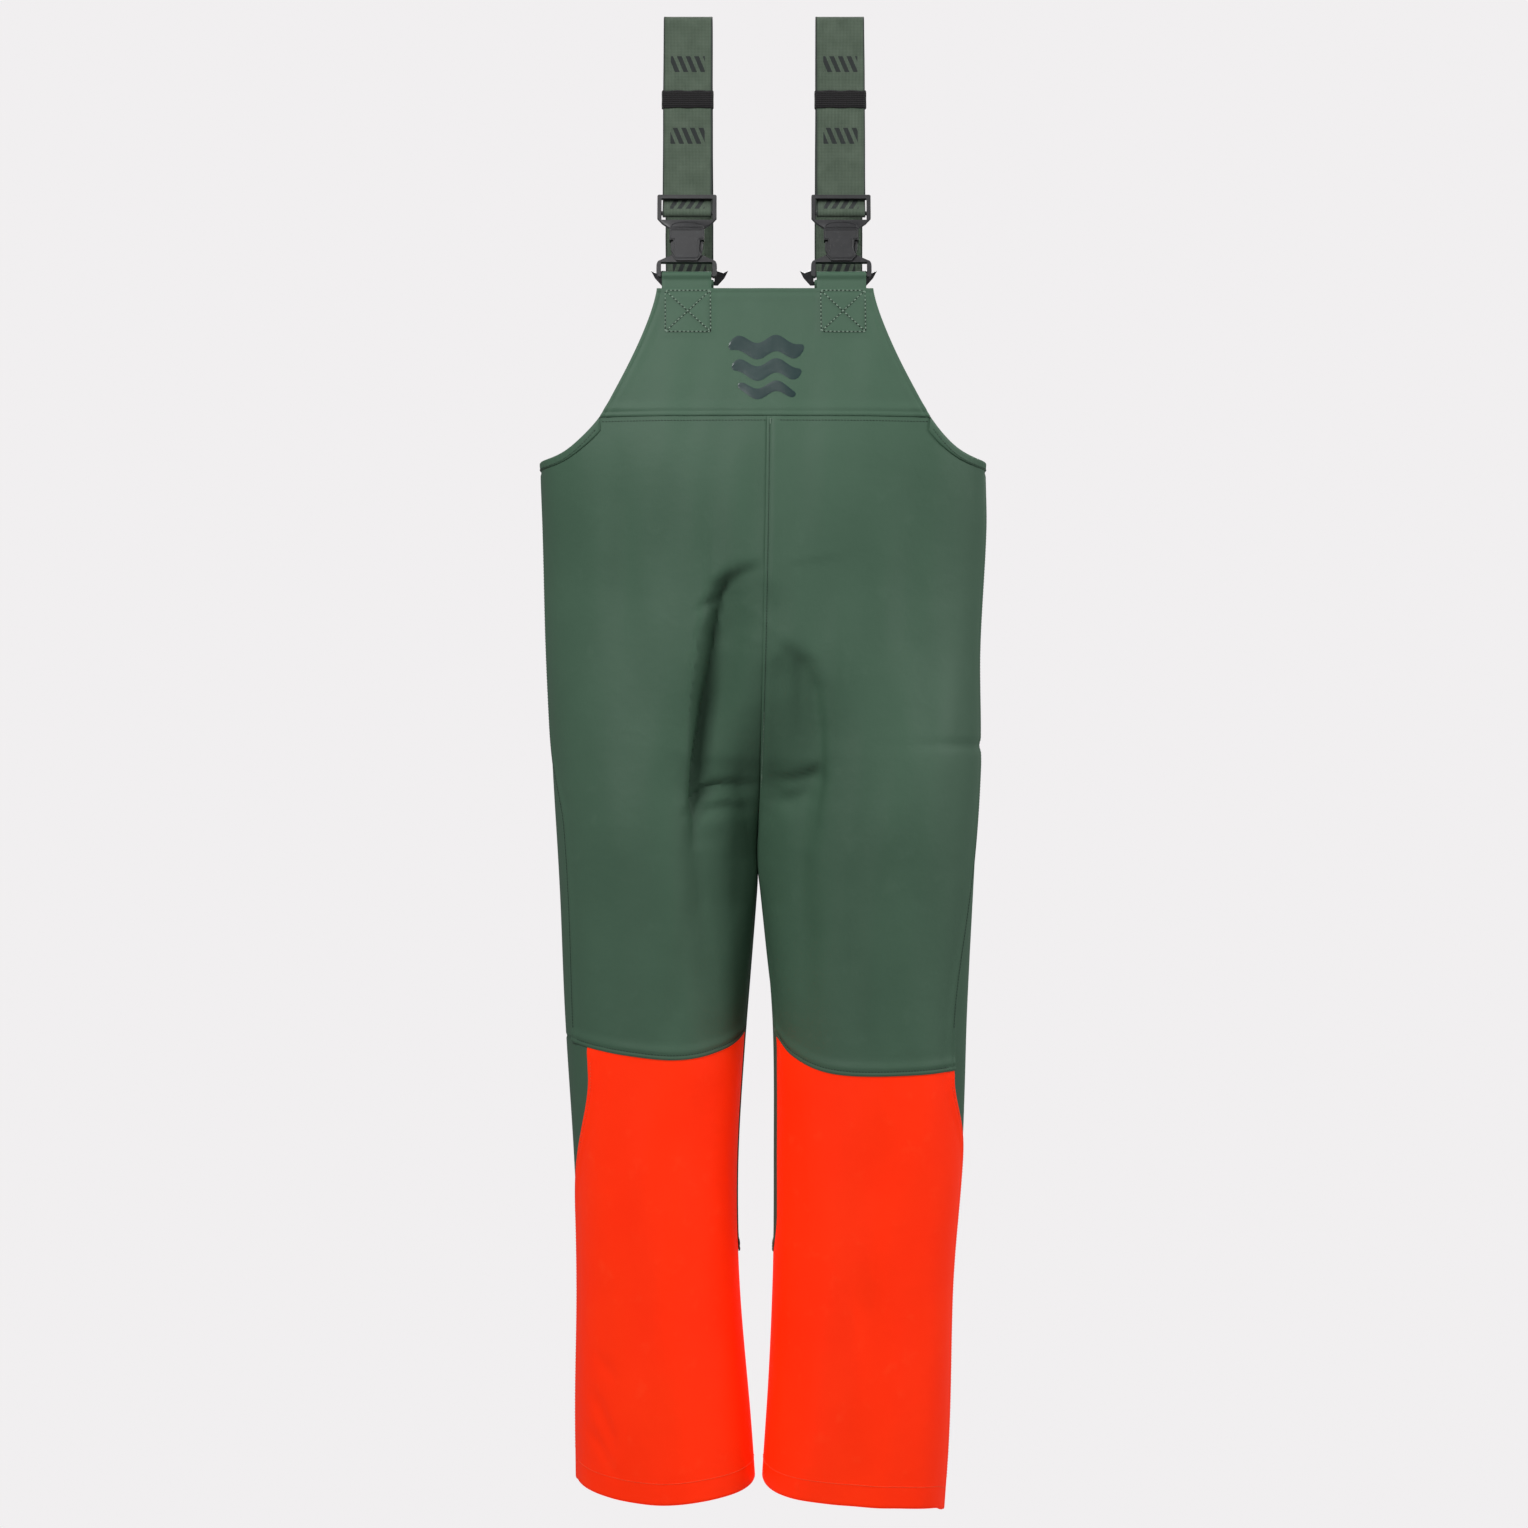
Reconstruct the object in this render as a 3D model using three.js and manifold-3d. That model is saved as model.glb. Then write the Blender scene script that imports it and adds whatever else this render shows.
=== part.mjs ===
// Waterproof bib-and-brace fishing trousers, hung by their braces, in millimetres with +Z up.
// The origin is on the axis of the rail that both braces fold over, midway between them.
// -Y is the front of the garment and +X is the wearer's left side.
// Heights below are measured up from the trouser hems, and one group moves the result to the origin.
import * as THREE from "three";
import { mergeVertices } from "three/addons/utils/BufferGeometryUtils.js";
import Module from "manifold-3d";

const wasm = await Module();
wasm.setup();

// ---------------------------------------------------------------- driving dimensions
const GAP = 0.3; // clearance between neighbouring pieces
const FABRIC_T = 1.2; // coated fabric
const WEBBING_T = 1.6; // elastic brace webbing
const TAB_T = 1.4; // folded coated-fabric tabs

// Heights, stacked from the hem
const CALF_H = 237; // hem to the seam across the back of the calf
const SHIN_H = 211; // calf seam to the knee seam, at the side
const THIGH_H = 186; // knee seam to the fork, where the legs part
const BODY_H = 412; // fork to the armhole, at the side
const ARMHOLE_H = 40; // armhole to the seam under the bib
const BIB_H = 131; // bib seam to the bib's top edge
const RISE_H = 266; // the height over which two legs become one body

// Widths and depths
const HEM_SPAN = 378; // outside of one hem to outside of the other
const CALF_SPAN = 390;
const KNEE_SPAN = 411;
const FORK_SPAN = 428;
const CHEST_SPAN = 454;
const HEM_GAP = 7; // between the two legs
const CALF_GAP = 36;
const KNEE_GAP = 30;
const HEM_DEPTH = 164; // front to back
const CALF_DEPTH = 166;
const KNEE_DEPTH = 180;
const FORK_DEPTH = 206;
const HIP_DEPTH = 250; // as if the body stayed one over the legs' rise
const WAIST_DEPTH = 222;
const BIB_TOP_DEPTH = 146;
const LEAN = 0.2; // the slope at which the chest and the braces lean in to the rail
const CHEST_SQUARENESS = 4; // exponent of the chest's rounded section at the bib's top, 2 is an ellipse

// Seams and edges
const KNEE_SEAM_RISE = 22; // how much higher the knee seam ends at the inside leg
const KNEE_SEAM_SAG = 17.5; // how far it dips between
const SIDE_SEAM_SWING = 0.17; // share of the leg's half round that the side seam comes forward at the knee
const SIDE_SEAM_SWING_H = 312; // height above the knee where that starts
const BIB_FOOT_HALF = 166; // half width of the bib at its seam
const BIB_TOP_HALF = 109; // half width of the bib at its top
const YOKE_FOOT_HALF = 154; // the same two at the back
const YOKE_TOP_HALF = 107;
const YOKE_RISE = 10; // how much higher the back yoke ends
const EDGE_HOLLOW = 1.35; // exponent of the bib's hollow side edges
const ARMHOLE_CURVE = 6; // exponent of the armhole's curve
const BINDING_W = 8;
const BINDING_PROUD = 0.5; // how far the binding stands off the fabric on each side
const HEM_BAND_H = 26;
const HEM_TURN = 0.5; // room inside the turned-up hem
const HALF_COLUMNS = 7; // facets from the side seam to the corner of the bib, and on to the middle
const CORNER_STEP = 0.004; // share of the half round that the step beside that corner takes
const FACING_H = 62;
const FACING_INSET = 5; // how far the facing stops short of the bib's side edges

// Braces
const BRACE_X = 78; // middle of each brace
const WEBBING_W = 50;
const RAIL_R = 8; // the rail that the braces fold over
const FRONT_TAB_H = 18; // how far a tab stands above the edge it is sewn to
const REAR_TAB_H = 20;
const TAB_SEWN_H = 46;
const KEEPER_H = 19;
const KEEPER_Z = 195; // foot of the keeper above the bib's top edge
const KEEPER_WALL = 1.2;
const TAIL_END_Z = 232; // where the webbing's free end stops
const RELEASE_TRAVEL = 40; // how far the plug slides out of the socket
const SEWN_END_H = 32; // length of webbing sewn back on itself behind

// Buckles
const BAR_R = 2.2; // the bars that webbing and tabs go round
const SOCKET_W = 35;
const SOCKET_T = 10;
const SOCKET_WALL = 2.5; // at each side of its mouth
const SOCKET_PLATE_T = 2; // its front and back plates
const MOUTH_H = 12; // the ring round its mouth
const WINDOW_DEPTH = 5; // how deep the side notches cut in
const WINDOW_H = 15.5;
const GUSSET_H = 7.5; // from the slot up to the notches, where the socket spreads into the loop
const LOOP_ARM_W = 4.5;
const LOOP_ROOM = 1; // between a loop's arm and the tab
const LOOP_T = 6;
const LOOP_SLOT_H = 11; // room above the bar for the tab
const LADDER_T = 5;
const LADDER_RAIL = 4.1; // side and top rails of the strap frame
const LADDER_ROOM = 0.9; // between a side rail and the webbing
const LADDER_WINDOW_H = 22.7;
const LADDER_BAR_SHARE = 0.34; // how far up its window the bar lies
const SHOULDER_H = 10; // from the plug's foot to its strap frame's window
const CAP_H = 8; // the plug's domed cap above the socket's mouth
const TONGUE_W = 8;
const TONGUE_L = 20;
const PRONG_W = 3.5;
const PRONG_L = 26;
const PRONG_T = 4.6;
const PRONG_ROOM = 2; // between a prong and the socket's wall
const CATCH = 1.6; // how far each prong's shoulder hooks behind the mouth
const RING_EAR = 10; // pointed ears at the rear ring's ends
const RING_H = 11; // between the rear ring's two bars

// ---------------------------------------------------------------- heights and angles that follow
const CALF_Z = CALF_H;
const KNEE_Z = CALF_Z + SHIN_H;
const FORK_Z = KNEE_Z + THIGH_H;
const RISE_TOP_Z = FORK_Z + RISE_H;
const ARMHOLE_Z = FORK_Z + BODY_H;
const BIB_SEAM_Z = ARMHOLE_Z + ARMHOLE_H;
const BIB_TOP_Z = BIB_SEAM_Z + BIB_H;
const YOKE_TOP_Z = BIB_TOP_Z + YOKE_RISE;
const LOOP_W = WEBBING_W + 2 * (LOOP_ROOM + LOOP_ARM_W); // outside width of the socket's and rear ring's frames
const LADDER_W = WEBBING_W + 2 * (LADDER_ROOM + LADDER_RAIL);
const LEAN_ANGLE = Math.atan(LEAN);
const COS = Math.cos(LEAN_ANGLE);
const SIN = Math.sin(LEAN_ANGLE);

const lerp = THREE.MathUtils.lerp;
const smooth = (v) => THREE.MathUtils.smoothstep(v, 0, 1);

// A smooth curve through [height, value] stations, level beyond its ends.
function profile(...stations) {
  const slope = (i) => {
    const a = stations[Math.max(i - 1, 0)];
    const b = stations[Math.min(i + 1, stations.length - 1)];
    return (b[1] - a[1]) / (b[0] - a[0]);
  };
  return (z) => {
    if (z <= stations[0][0]) return stations[0][1];
    const i = stations.findIndex((station) => station[0] > z);
    if (i < 0) return stations[stations.length - 1][1];
    const [z0, v0] = stations[i - 1];
    const [z1, v1] = stations[i];
    const t = (z - z0) / (z1 - z0);
    const [m0, m1] = [slope(i - 1) * (z1 - z0), slope(i) * (z1 - z0)];
    return (
      v0 + t * t * (3 - 2 * t) * (v1 - v0) +
      t * (1 - t) * ((1 - t) * m0 - t * m1)
    );
  };
}

const halfSpan = profile(
  [0, HEM_SPAN / 2], [CALF_Z, CALF_SPAN / 2], [KNEE_Z, KNEE_SPAN / 2], [FORK_Z, FORK_SPAN / 2],
  [ARMHOLE_Z, CHEST_SPAN / 2],
);
const halfGap = profile([0, HEM_GAP / 2], [CALF_Z, CALF_GAP / 2], [KNEE_Z, KNEE_GAP / 2], [FORK_Z, 0]);
const legHalfDepth = profile(
  [0, HEM_DEPTH / 2], [CALF_Z, CALF_DEPTH / 2], [KNEE_Z, KNEE_DEPTH / 2], [FORK_Z, FORK_DEPTH / 2],
  [RISE_TOP_Z, HIP_DEPTH / 2],
);
const chestHalfDepth = (z) => BIB_TOP_DEPTH / 2 + LEAN * (BIB_TOP_Z - z);
const lowerBodyHalfDepth = profile(
  [FORK_Z, HIP_DEPTH / 2], [RISE_TOP_Z, WAIST_DEPTH / 2], [ARMHOLE_Z, chestHalfDepth(ARMHOLE_Z)],
);
const bodyHalfDepth = (z) => (z > ARMHOLE_Z ? chestHalfDepth(z) : lowerBodyHalfDepth(z));
const squareness = (z) =>
  lerp(2, CHEST_SQUARENESS, smooth((z - RISE_TOP_Z) / (BIB_TOP_Z - RISE_TOP_Z)));
const legShare = (z) => smooth(1 - (z - FORK_Z) / RISE_H);

// One quarter of the garment's section at a height: x is out from the middle and y is out from the side seam.
// s is 0 at the side seam and 1 at the centre seam or the inside leg, and below 0 it goes round to the other face.
function section(s, z) {
  const phi = (Math.PI / 2) * s;
  const n = squareness(z);
  const round = (Math.abs(Math.cos(phi)) ** n + Math.abs(Math.sin(phi)) ** n) ** (-1 / n);
  const legs = legShare(z);
  const gap = halfGap(z);
  const centre = (halfSpan(z) + gap) / 2;
  const legHalf = (halfSpan(z) - gap) / 2;
  return {
    x: lerp(halfSpan(z) * round * Math.cos(phi), centre + legHalf * Math.cos(Math.PI * s), legs),
    y: lerp(bodyHalfDepth(z) * round * Math.sin(phi), legHalfDepth(z) * Math.sin(Math.PI * s), legs),
  };
}

// The section's tangent per unit of s.
function sectionTangent(s, z) {
  const step = 1e-4;
  const before = section(s - step, z);
  const after = section(s + step, z);
  return { x: (after.x - before.x) / (2 * step), y: (after.y - before.y) / (2 * step) };
}

// A point of the garment, offset outwards. side is 1 or -1 along X, and face is 1 in front and -1 behind.
function skinPoint(side, face, s, z, offset) {
  const point = section(s, z);
  const tangent = sectionTangent(s, z);
  const length = Math.hypot(tangent.x, tangent.y);
  let x = point.x + (tangent.y / length) * offset;
  let y = point.y - (tangent.x / length) * offset;
  if (s > 0.5 && s < 1) {
    // the seams at the middle: nothing crosses to the other side or face
    x = Math.max(x, GAP / 2);
    y = Math.max(y, GAP / 2);
  }
  return [side * x, -face * y, z];
}

// The share s that a length along the section takes.
function shareOf(length, s, z) {
  const tangent = sectionTangent(s, z);
  return length / Math.hypot(tangent.x, tangent.y);
}

// ---------------------------------------------------------------- sheets
// A closed thin sheet between two offsets. at(p, q, offset) gives a point, with p and q from 0 to 1.
function sheet(at, columns, rows, outset, inset, ring = false) {
  const across = ring ? columns : columns + 1;
  const layer = across * (rows + 1);
  const positions = [];
  for (const offset of [outset, -inset])
    for (let j = 0; j <= rows; j++)
      for (let i = 0; i < across; i++) positions.push(...at(i / columns, j / rows, offset));
  const corner = (i, j, k) => k * layer + j * across + (i % across);
  const faces = [];
  const quad = (a, b, c, d) => faces.push(a, b, c, a, c, d);
  for (let i = 0; i < columns; i++) {
    for (let j = 0; j < rows; j++) {
      quad(corner(i, j, 0), corner(i + 1, j, 0), corner(i + 1, j + 1, 0), corner(i, j + 1, 0));
      quad(corner(i, j + 1, 1), corner(i + 1, j + 1, 1), corner(i + 1, j, 1), corner(i, j, 1));
    }
    quad(corner(i, 0, 1), corner(i + 1, 0, 1), corner(i + 1, 0, 0), corner(i, 0, 0));
    quad(corner(i, rows, 0), corner(i + 1, rows, 0), corner(i + 1, rows, 1), corner(i, rows, 1));
  }
  if (!ring)
    for (let j = 0; j < rows; j++) {
      quad(corner(0, j, 0), corner(0, j + 1, 0), corner(0, j + 1, 1), corner(0, j, 1));
      quad(corner(columns, j, 1), corner(columns, j + 1, 1), corner(columns, j + 1, 0), corner(columns, j, 0));
    }
  const geometry = new THREE.BufferGeometry();
  geometry.setAttribute("position", new THREE.Float32BufferAttribute(positions, 3));
  geometry.setIndex(signedVolume(positions, faces) < 0 ? faces.reverse() : faces);
  return geometry;
}

function signedVolume(positions, faces) {
  const corner = (i) => new THREE.Vector3().fromArray(positions, 3 * faces[i]);
  let volume = 0;
  for (let i = 0; i < faces.length; i += 3) volume += corner(i).dot(corner(i + 1).cross(corner(i + 2)));
  return volume / 6;
}

// How far forward of the side the seam between front and back runs, as a share s.
function sideSeam(z) {
  const above = (KNEE_Z + SIDE_SEAM_SWING_H - z) / SIDE_SEAM_SWING_H;
  const below = (z - CALF_Z) / SHIN_H;
  return SIDE_SEAM_SWING * smooth(Math.min(above, below));
}

const kneeSeam = (p) => KNEE_Z + KNEE_SEAM_RISE * p * p - KNEE_SEAM_SAG * 4 * p * (1 - p);

// The share s at which a chest section is a given half width from the middle.
function shareAtHalfWidth(x, z) {
  const n = squareness(z);
  const across = x / halfSpan(z);
  return (2 / Math.PI) * Math.atan2((1 - across ** n) ** (1 / n), across);
}

const bibCorner = shareAtHalfWidth(BIB_FOOT_HALF, BIB_SEAM_Z);
const yokeCorner = shareAtHalfWidth(YOKE_FOOT_HALF, BIB_SEAM_Z);
const cornerShare = (face) => (face > 0 ? bibCorner : yokeCorner);
const armhole = (s) => ARMHOLE_Z + ARMHOLE_H * (Math.abs(s) / cornerShare(s)) ** ARMHOLE_CURVE;

// Heights or shares from one to another in equal steps, both included.
const steps = (from, to, count) => Array.from({ length: count + 1 }, (_, i) => lerp(from, to, i / count));

// The share s at each edge of a panel's columns, with a step beside the corner of the bib or yoke.
const columnShares = (face) => {
  const corner = cornerShare(face);
  return [...steps(0, corner, HALF_COLUMNS), ...steps(corner + CORNER_STEP, 1, HALF_COLUMNS)];
};

// One body or leg panel. low(s) and high(s) are its lower and upper edges, from the side seam to the middle.
// levels are its rows' heights at the side seam, so its neighbours' edges meet its own point for point.
function panel(side, face, low, high, levels) {
  const shares = columnShares(face);
  const columns = shares.length - 1;
  const rows = levels.length - 1;
  const at = (p, q, offset) => {
    const share = shares[Math.round(p * columns)];
    const height = levels[Math.round(q * rows)];
    const rise = (height - levels[0]) / (levels[rows] - levels[0]);
    const z = lerp(low(share), high(share), rise);
    const start = face * sideSeam(height);
    const s = lerp(start + shareOf(GAP / 2, start, z), 1 - shareOf(GAP / 2, 1, z), share);
    return skinPoint(side, face, s, z, offset);
  };
  return sheet(at, columns, rows, 0, FABRIC_T);
}

// The upper edge of a body panel: under the armhole's binding, then under the bib or the yoke.
const panelTop = (face) => (s) =>
  s <= cornerShare(face) ? armhole(face * s) - BINDING_W - GAP : BIB_SEAM_Z - GAP / 2;

// A chest piece across the middle, whose half width at a height is half(z).
function chestPiece(face, low, high, half, columns, rows, outset, inset) {
  const at = (p, q, offset) => {
    const z = lerp(low, high, q);
    const x = half(z) * (2 * p - 1);
    const s = shareAtHalfWidth(Math.abs(x), z);
    const tangent = sectionTangent(s, z);
    const length = Math.hypot(tangent.x, tangent.y);
    const point = section(s, z);
    return [
      x + Math.sign(x) * (tangent.y / length) * offset,
      -face * (point.y - (tangent.x / length) * offset),
      z,
    ];
  };
  return sheet(at, columns, rows, outset, inset);
}

const sideEdge = (footHalf, topHalf, topZ) => (z) =>
  topHalf + (footHalf - topHalf) * ((topZ - z) / (topZ - BIB_SEAM_Z)) ** EDGE_HOLLOW;
const bibHalf = sideEdge(BIB_FOOT_HALF, BIB_TOP_HALF, BIB_TOP_Z);
const yokeHalf = sideEdge(YOKE_FOOT_HALF, YOKE_TOP_HALF, YOKE_TOP_Z);

function armholeBinding(side) {
  const front = bibCorner - shareOf(GAP, bibCorner, BIB_SEAM_Z);
  const back = yokeCorner - shareOf(GAP, yokeCorner, BIB_SEAM_Z);
  const at = (p, q, offset) => {
    const s = p < 0.5 ? front * (1 - 2 * p) : back * (1 - 2 * p);
    const z = armhole(s) - BINDING_W * (1 - q);
    return skinPoint(side, 1, s, z, offset);
  };
  return sheet(at, 2 * HALF_COLUMNS, 1, BINDING_PROUD, FABRIC_T + BINDING_PROUD);
}

// The hem's turned-up band, lining the foot of one leg.
function hemBand(side) {
  const columns = 2 * columnShares(1).length - 2;
  const at = (p, q, offset) => {
    const face = 2 * p < 1 ? 1 : -1;
    const column = columns / 2 - Math.abs(Math.round(p * columns) - columns / 2);
    return skinPoint(side, face, columnShares(face)[column], lerp(0, HEM_BAND_H, q), offset);
  };
  return sheet(at, columns, 1, -FABRIC_T - HEM_TURN, 2 * FABRIC_T + HEM_TURN, true);
}

// ---------------------------------------------------------------- the braces' frame
// A brace's own axes: x across it, y inwards and z up along it, from the top edge of the bib.
// The tab's two layers lie behind the bib's fabric, and both follow the chest's lean.
const tabEdgeX = BRACE_X + WEBBING_W / 2;
const bibInside = section(shareAtHalfWidth(tabEdgeX, BIB_TOP_Z), BIB_TOP_Z).y - (FABRIC_T + 2 * GAP) / COS;
const braceY = bibInside - (TAB_T + GAP / 2) / COS;
const runY = LADDER_T / 2 + GAP + WEBBING_T / 2; // the webbing's plane, behind the strap frame
const foldR = RAIL_R + WEBBING_T / 2;
const railZ = BIB_TOP_Z + (braceY - (runY + foldR) / COS) / LEAN;
const foldUp = (railZ - BIB_TOP_Z) * COS + braceY * SIN; // height of the fold's axis along a brace

// A brace's (y, z) as garment (y, z). face is 1 for the front run and -1 for the rear one.
const alongBrace = (face, y, z) =>
  new THREE.Vector2(face * (-braceY + y * COS + z * SIN), BIB_TOP_Z - y * SIN + z * COS);

function braceGroup(side, face) {
  const group = new THREE.Group();
  group.position.set(side * BRACE_X, -face * braceY, BIB_TOP_Z);
  group.rotation.set(-LEAN_ANGLE, 0, face > 0 ? 0 : Math.PI, "ZXY");
  return group;
}

// ---------------------------------------------------------------- solids
function toSolid(geometry) {
  const bare = geometry.clone();
  bare.deleteAttribute("normal");
  bare.deleteAttribute("uv");
  const merged = mergeVertices(bare, 1e-3);
  return new wasm.Manifold(
    new wasm.Mesh({
      numProp: 3,
      vertProperties: merged.attributes.position.array,
      triVerts: new Uint32Array(merged.index.array),
    }),
  );
}

function toGeometry(solid) {
  const mesh = solid.getMesh();
  const geometry = new THREE.BufferGeometry();
  geometry.setAttribute("position", new THREE.BufferAttribute(mesh.vertProperties, 3));
  geometry.setIndex(new THREE.BufferAttribute(mesh.triVerts, 1));
  return geometry;
}

function box(width, depth, height, x, y, z) {
  return toSolid(new THREE.BoxGeometry(width, depth, height).translate(x, y, z));
}

// A round bar along X.
function bar(radius, length, z) {
  return toSolid(new THREE.CylinderGeometry(radius, radius, length, 16).rotateZ(Math.PI / 2).translate(0, 0, z));
}

// An outline of (x, z) points, its right half given from the top down, extruded through a thickness in Y.
function plate(rightHalf, thickness) {
  const outline = [...rightHalf, ...rightHalf.slice().reverse().map(([x, z]) => [-x, z])];
  const shape = new THREE.Shape(outline.map(([x, z]) => new THREE.Vector2(x, z)));
  const geometry = new THREE.ExtrudeGeometry(shape, { depth: thickness, bevelEnabled: false });
  geometry.rotateX(Math.PI / 2).translate(0, thickness / 2, 0);
  return geometry;
}

// Webbing or fabric along a path of (y, z) points, as wide as width in X.
function ribbon(path, thickness, width, x = 0) {
  const left = [];
  const right = [];
  path.forEach((point, i) => {
    const ahead = path[Math.min(i + 1, path.length - 1)];
    const behind = path[Math.max(i - 1, 0)];
    const across = ahead.clone().sub(behind).normalize().rotateAround(new THREE.Vector2(), Math.PI / 2);
    left.push(point.clone().addScaledVector(across, thickness / 2));
    right.push(point.clone().addScaledVector(across, -thickness / 2));
  });
  const shape = new THREE.Shape([...left, ...right.reverse()]);
  const geometry = new THREE.ExtrudeGeometry(shape, { depth: width, bevelEnabled: false });
  const axes = new THREE.Matrix4().makeBasis(
    new THREE.Vector3(0, 1, 0), new THREE.Vector3(0, 0, 1), new THREE.Vector3(1, 0, 0),
  );
  return geometry.applyMatrix4(axes).translate(x - width / 2, 0, 0);
}

// Points of an arc round (y, z), from one angle to another, in degrees from +y towards +z.
function arc(y, z, radius, from, to, steps) {
  return Array.from({ length: steps + 1 }, (_, i) => {
    const angle = THREE.MathUtils.degToRad(lerp(from, to, i / steps));
    return new THREE.Vector2(y + radius * Math.cos(angle), z + radius * Math.sin(angle));
  });
}

// Points of an S-bend between two levels of y, leaving out its ends.
function sway(y0, z0, y1, z1, steps) {
  return Array.from({ length: steps - 1 }, (_, i) => {
    const t = (i + 1) / steps;
    return new THREE.Vector2(lerp(y0, y1, smooth(t)), lerp(z0, z1, t));
  });
}

const at2 = (y, z) => new THREE.Vector2(y, z);

// ---------------------------------------------------------------- tabs and brace hardware
// Heights along a brace, from the edge that the tab is sewn to.
const tabLoopR = BAR_R + GAP + TAB_T / 2;
const tabBarZ = (height) => height - tabLoopR - TAB_T / 2;
const loopBarZ = tabBarZ(FRONT_TAB_H);
const slotTopZ = loopBarZ + BAR_R + LOOP_SLOT_H;
const windowFootZ = slotTopZ + GUSSET_H;
const windowTopZ = windowFootZ + WINDOW_H;
const socketTopZ = windowTopZ + MOUTH_H;
const plugFootZ = socketTopZ + GAP;
const ladderWindowZ = plugFootZ + SHOULDER_H;
const ladderWindowTopZ = ladderWindowZ + LADDER_WINDOW_H;
const ladderTopZ = ladderWindowTopZ + LADDER_RAIL;
const ladderBarZ = ladderWindowZ + LADDER_BAR_SHARE * LADDER_WINDOW_H;
const wrapR = BAR_R + GAP + WEBBING_T / 2;
const tailY = runY + WEBBING_T + 0.5;
const fixedRunZ = ladderTopZ + RELEASE_TRAVEL + 5;

// A loop of coated fabric round a bar, both ends sewn down together. It stands a height above its edge.
function tab(height) {
  const barZ = tabBarZ(height);
  const legY = (TAB_T + GAP) / 2;
  const legTopZ = barZ - 1.8 * tabLoopR;
  const path = [
    at2(-legY, -TAB_SEWN_H),
    at2(-legY, legTopZ),
    ...sway(-legY, legTopZ, -tabLoopR, barZ, 6),
    ...arc(0, barZ, tabLoopR, 180, 0, 12),
    ...sway(tabLoopR, barZ, legY, legTopZ, 6),
    at2(legY, legTopZ),
    at2(legY, -TAB_SEWN_H),
  ];
  return ribbon(path, TAB_T, WEBBING_W);
}

// The socket half of a side-release buckle: a loop round the tab, and a flat housing with side notches.
function buckleSocket() {
  const half = SOCKET_W / 2;
  const waist = half - WINDOW_DEPTH;
  const loopHalf = LOOP_W / 2;
  const slotHalf = loopHalf - LOOP_ARM_W;
  const footZ = loopBarZ - BAR_R;
  const notch = quarterTurn(waist + 3, windowFootZ, waist, windowTopZ - WINDOW_H / 2, 4);
  const housing = plate(
    [[half, socketTopZ], [half, windowTopZ], [waist + 1, windowTopZ], ...notch.reverse(), [waist - 2, slotTopZ + 1]],
    SOCKET_T,
  );
  const loop = plate(
    [
      [waist + 1, windowFootZ + 1], [waist + 3, windowFootZ], [slotHalf - 2, slotTopZ + 3.4],
      ...quarterTurn(slotHalf + 1, slotTopZ + 2, loopHalf, slotTopZ - 4, 4),
      ...quarterTurn(loopHalf - 3, footZ, loopHalf, footZ + 5, 4).reverse(),
    ],
    LOOP_T,
  );
  const slotH = slotTopZ - footZ;
  const slot = box(2 * slotHalf, SOCKET_T + 2, slotH + 2, 0, 0, slotTopZ - slotH / 2 - 1);
  const cavityH = socketTopZ - windowFootZ;
  const cavityT = SOCKET_T - 2 * SOCKET_PLATE_T;
  const cavity = box(SOCKET_W - 2 * SOCKET_WALL, cavityT, cavityH + 2, 0, 0, socketTopZ - cavityH / 2 + 1);
  return toGeometry(
    toSolid(housing)
      .add(toSolid(loop))
      .subtract(slot)
      .add(bar(BAR_R, 2 * loopHalf - LOOP_ARM_W, loopBarZ))
      .subtract(cavity),
  );
}

// Points of a quarter turn of an ellipse, from (x0, z0) level to (x1, z1) upright.
function quarterTurn(x0, z0, x1, z1, count) {
  return Array.from({ length: count + 1 }, (_, i) => {
    const angle = (Math.PI / 2) * (i / count);
    return [lerp(x0, x1, Math.sin(angle)), lerp(z1, z0, Math.cos(angle))];
  });
}

// The plug half: a domed cap, a guide tongue below it and a strap frame with a bar above it.
function bucklePlug() {
  const half = SOCKET_W / 2;
  const ladderHalf = LADDER_W / 2;
  const dome = quarterTurn(0, plugFootZ + CAP_H, half, plugFootZ + 1.5, 6);
  const cap = plate([...dome, [half, plugFootZ]], SOCKET_T);
  const frame = plate(
    [
      ...quarterTurn(ladderHalf - 1.5, ladderTopZ, ladderHalf, ladderTopZ - 1.5, 2),
      [ladderHalf, ladderWindowZ + 2], [ladderHalf - 5, ladderWindowZ - 3.5], [half, plugFootZ + 1.5],
      [half - 2, plugFootZ],
    ],
    LADDER_T,
  );
  const windowMid = (ladderWindowZ + ladderWindowTopZ) / 2;
  const opening = box(LADDER_W - 2 * LADDER_RAIL, LADDER_T + 2, LADDER_WINDOW_H, 0, 0, windowMid);
  const tongue = box(TONGUE_W, PRONG_T, TONGUE_L + 2, 0, 0, plugFootZ - TONGUE_L / 2 + 1);
  return toGeometry(
    toSolid(cap)
      .add(toSolid(frame))
      .subtract(opening)
      .add(bar(BAR_R, LADDER_W - LADDER_RAIL, ladderBarZ))
      .add(tongue),
  );
}

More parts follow.
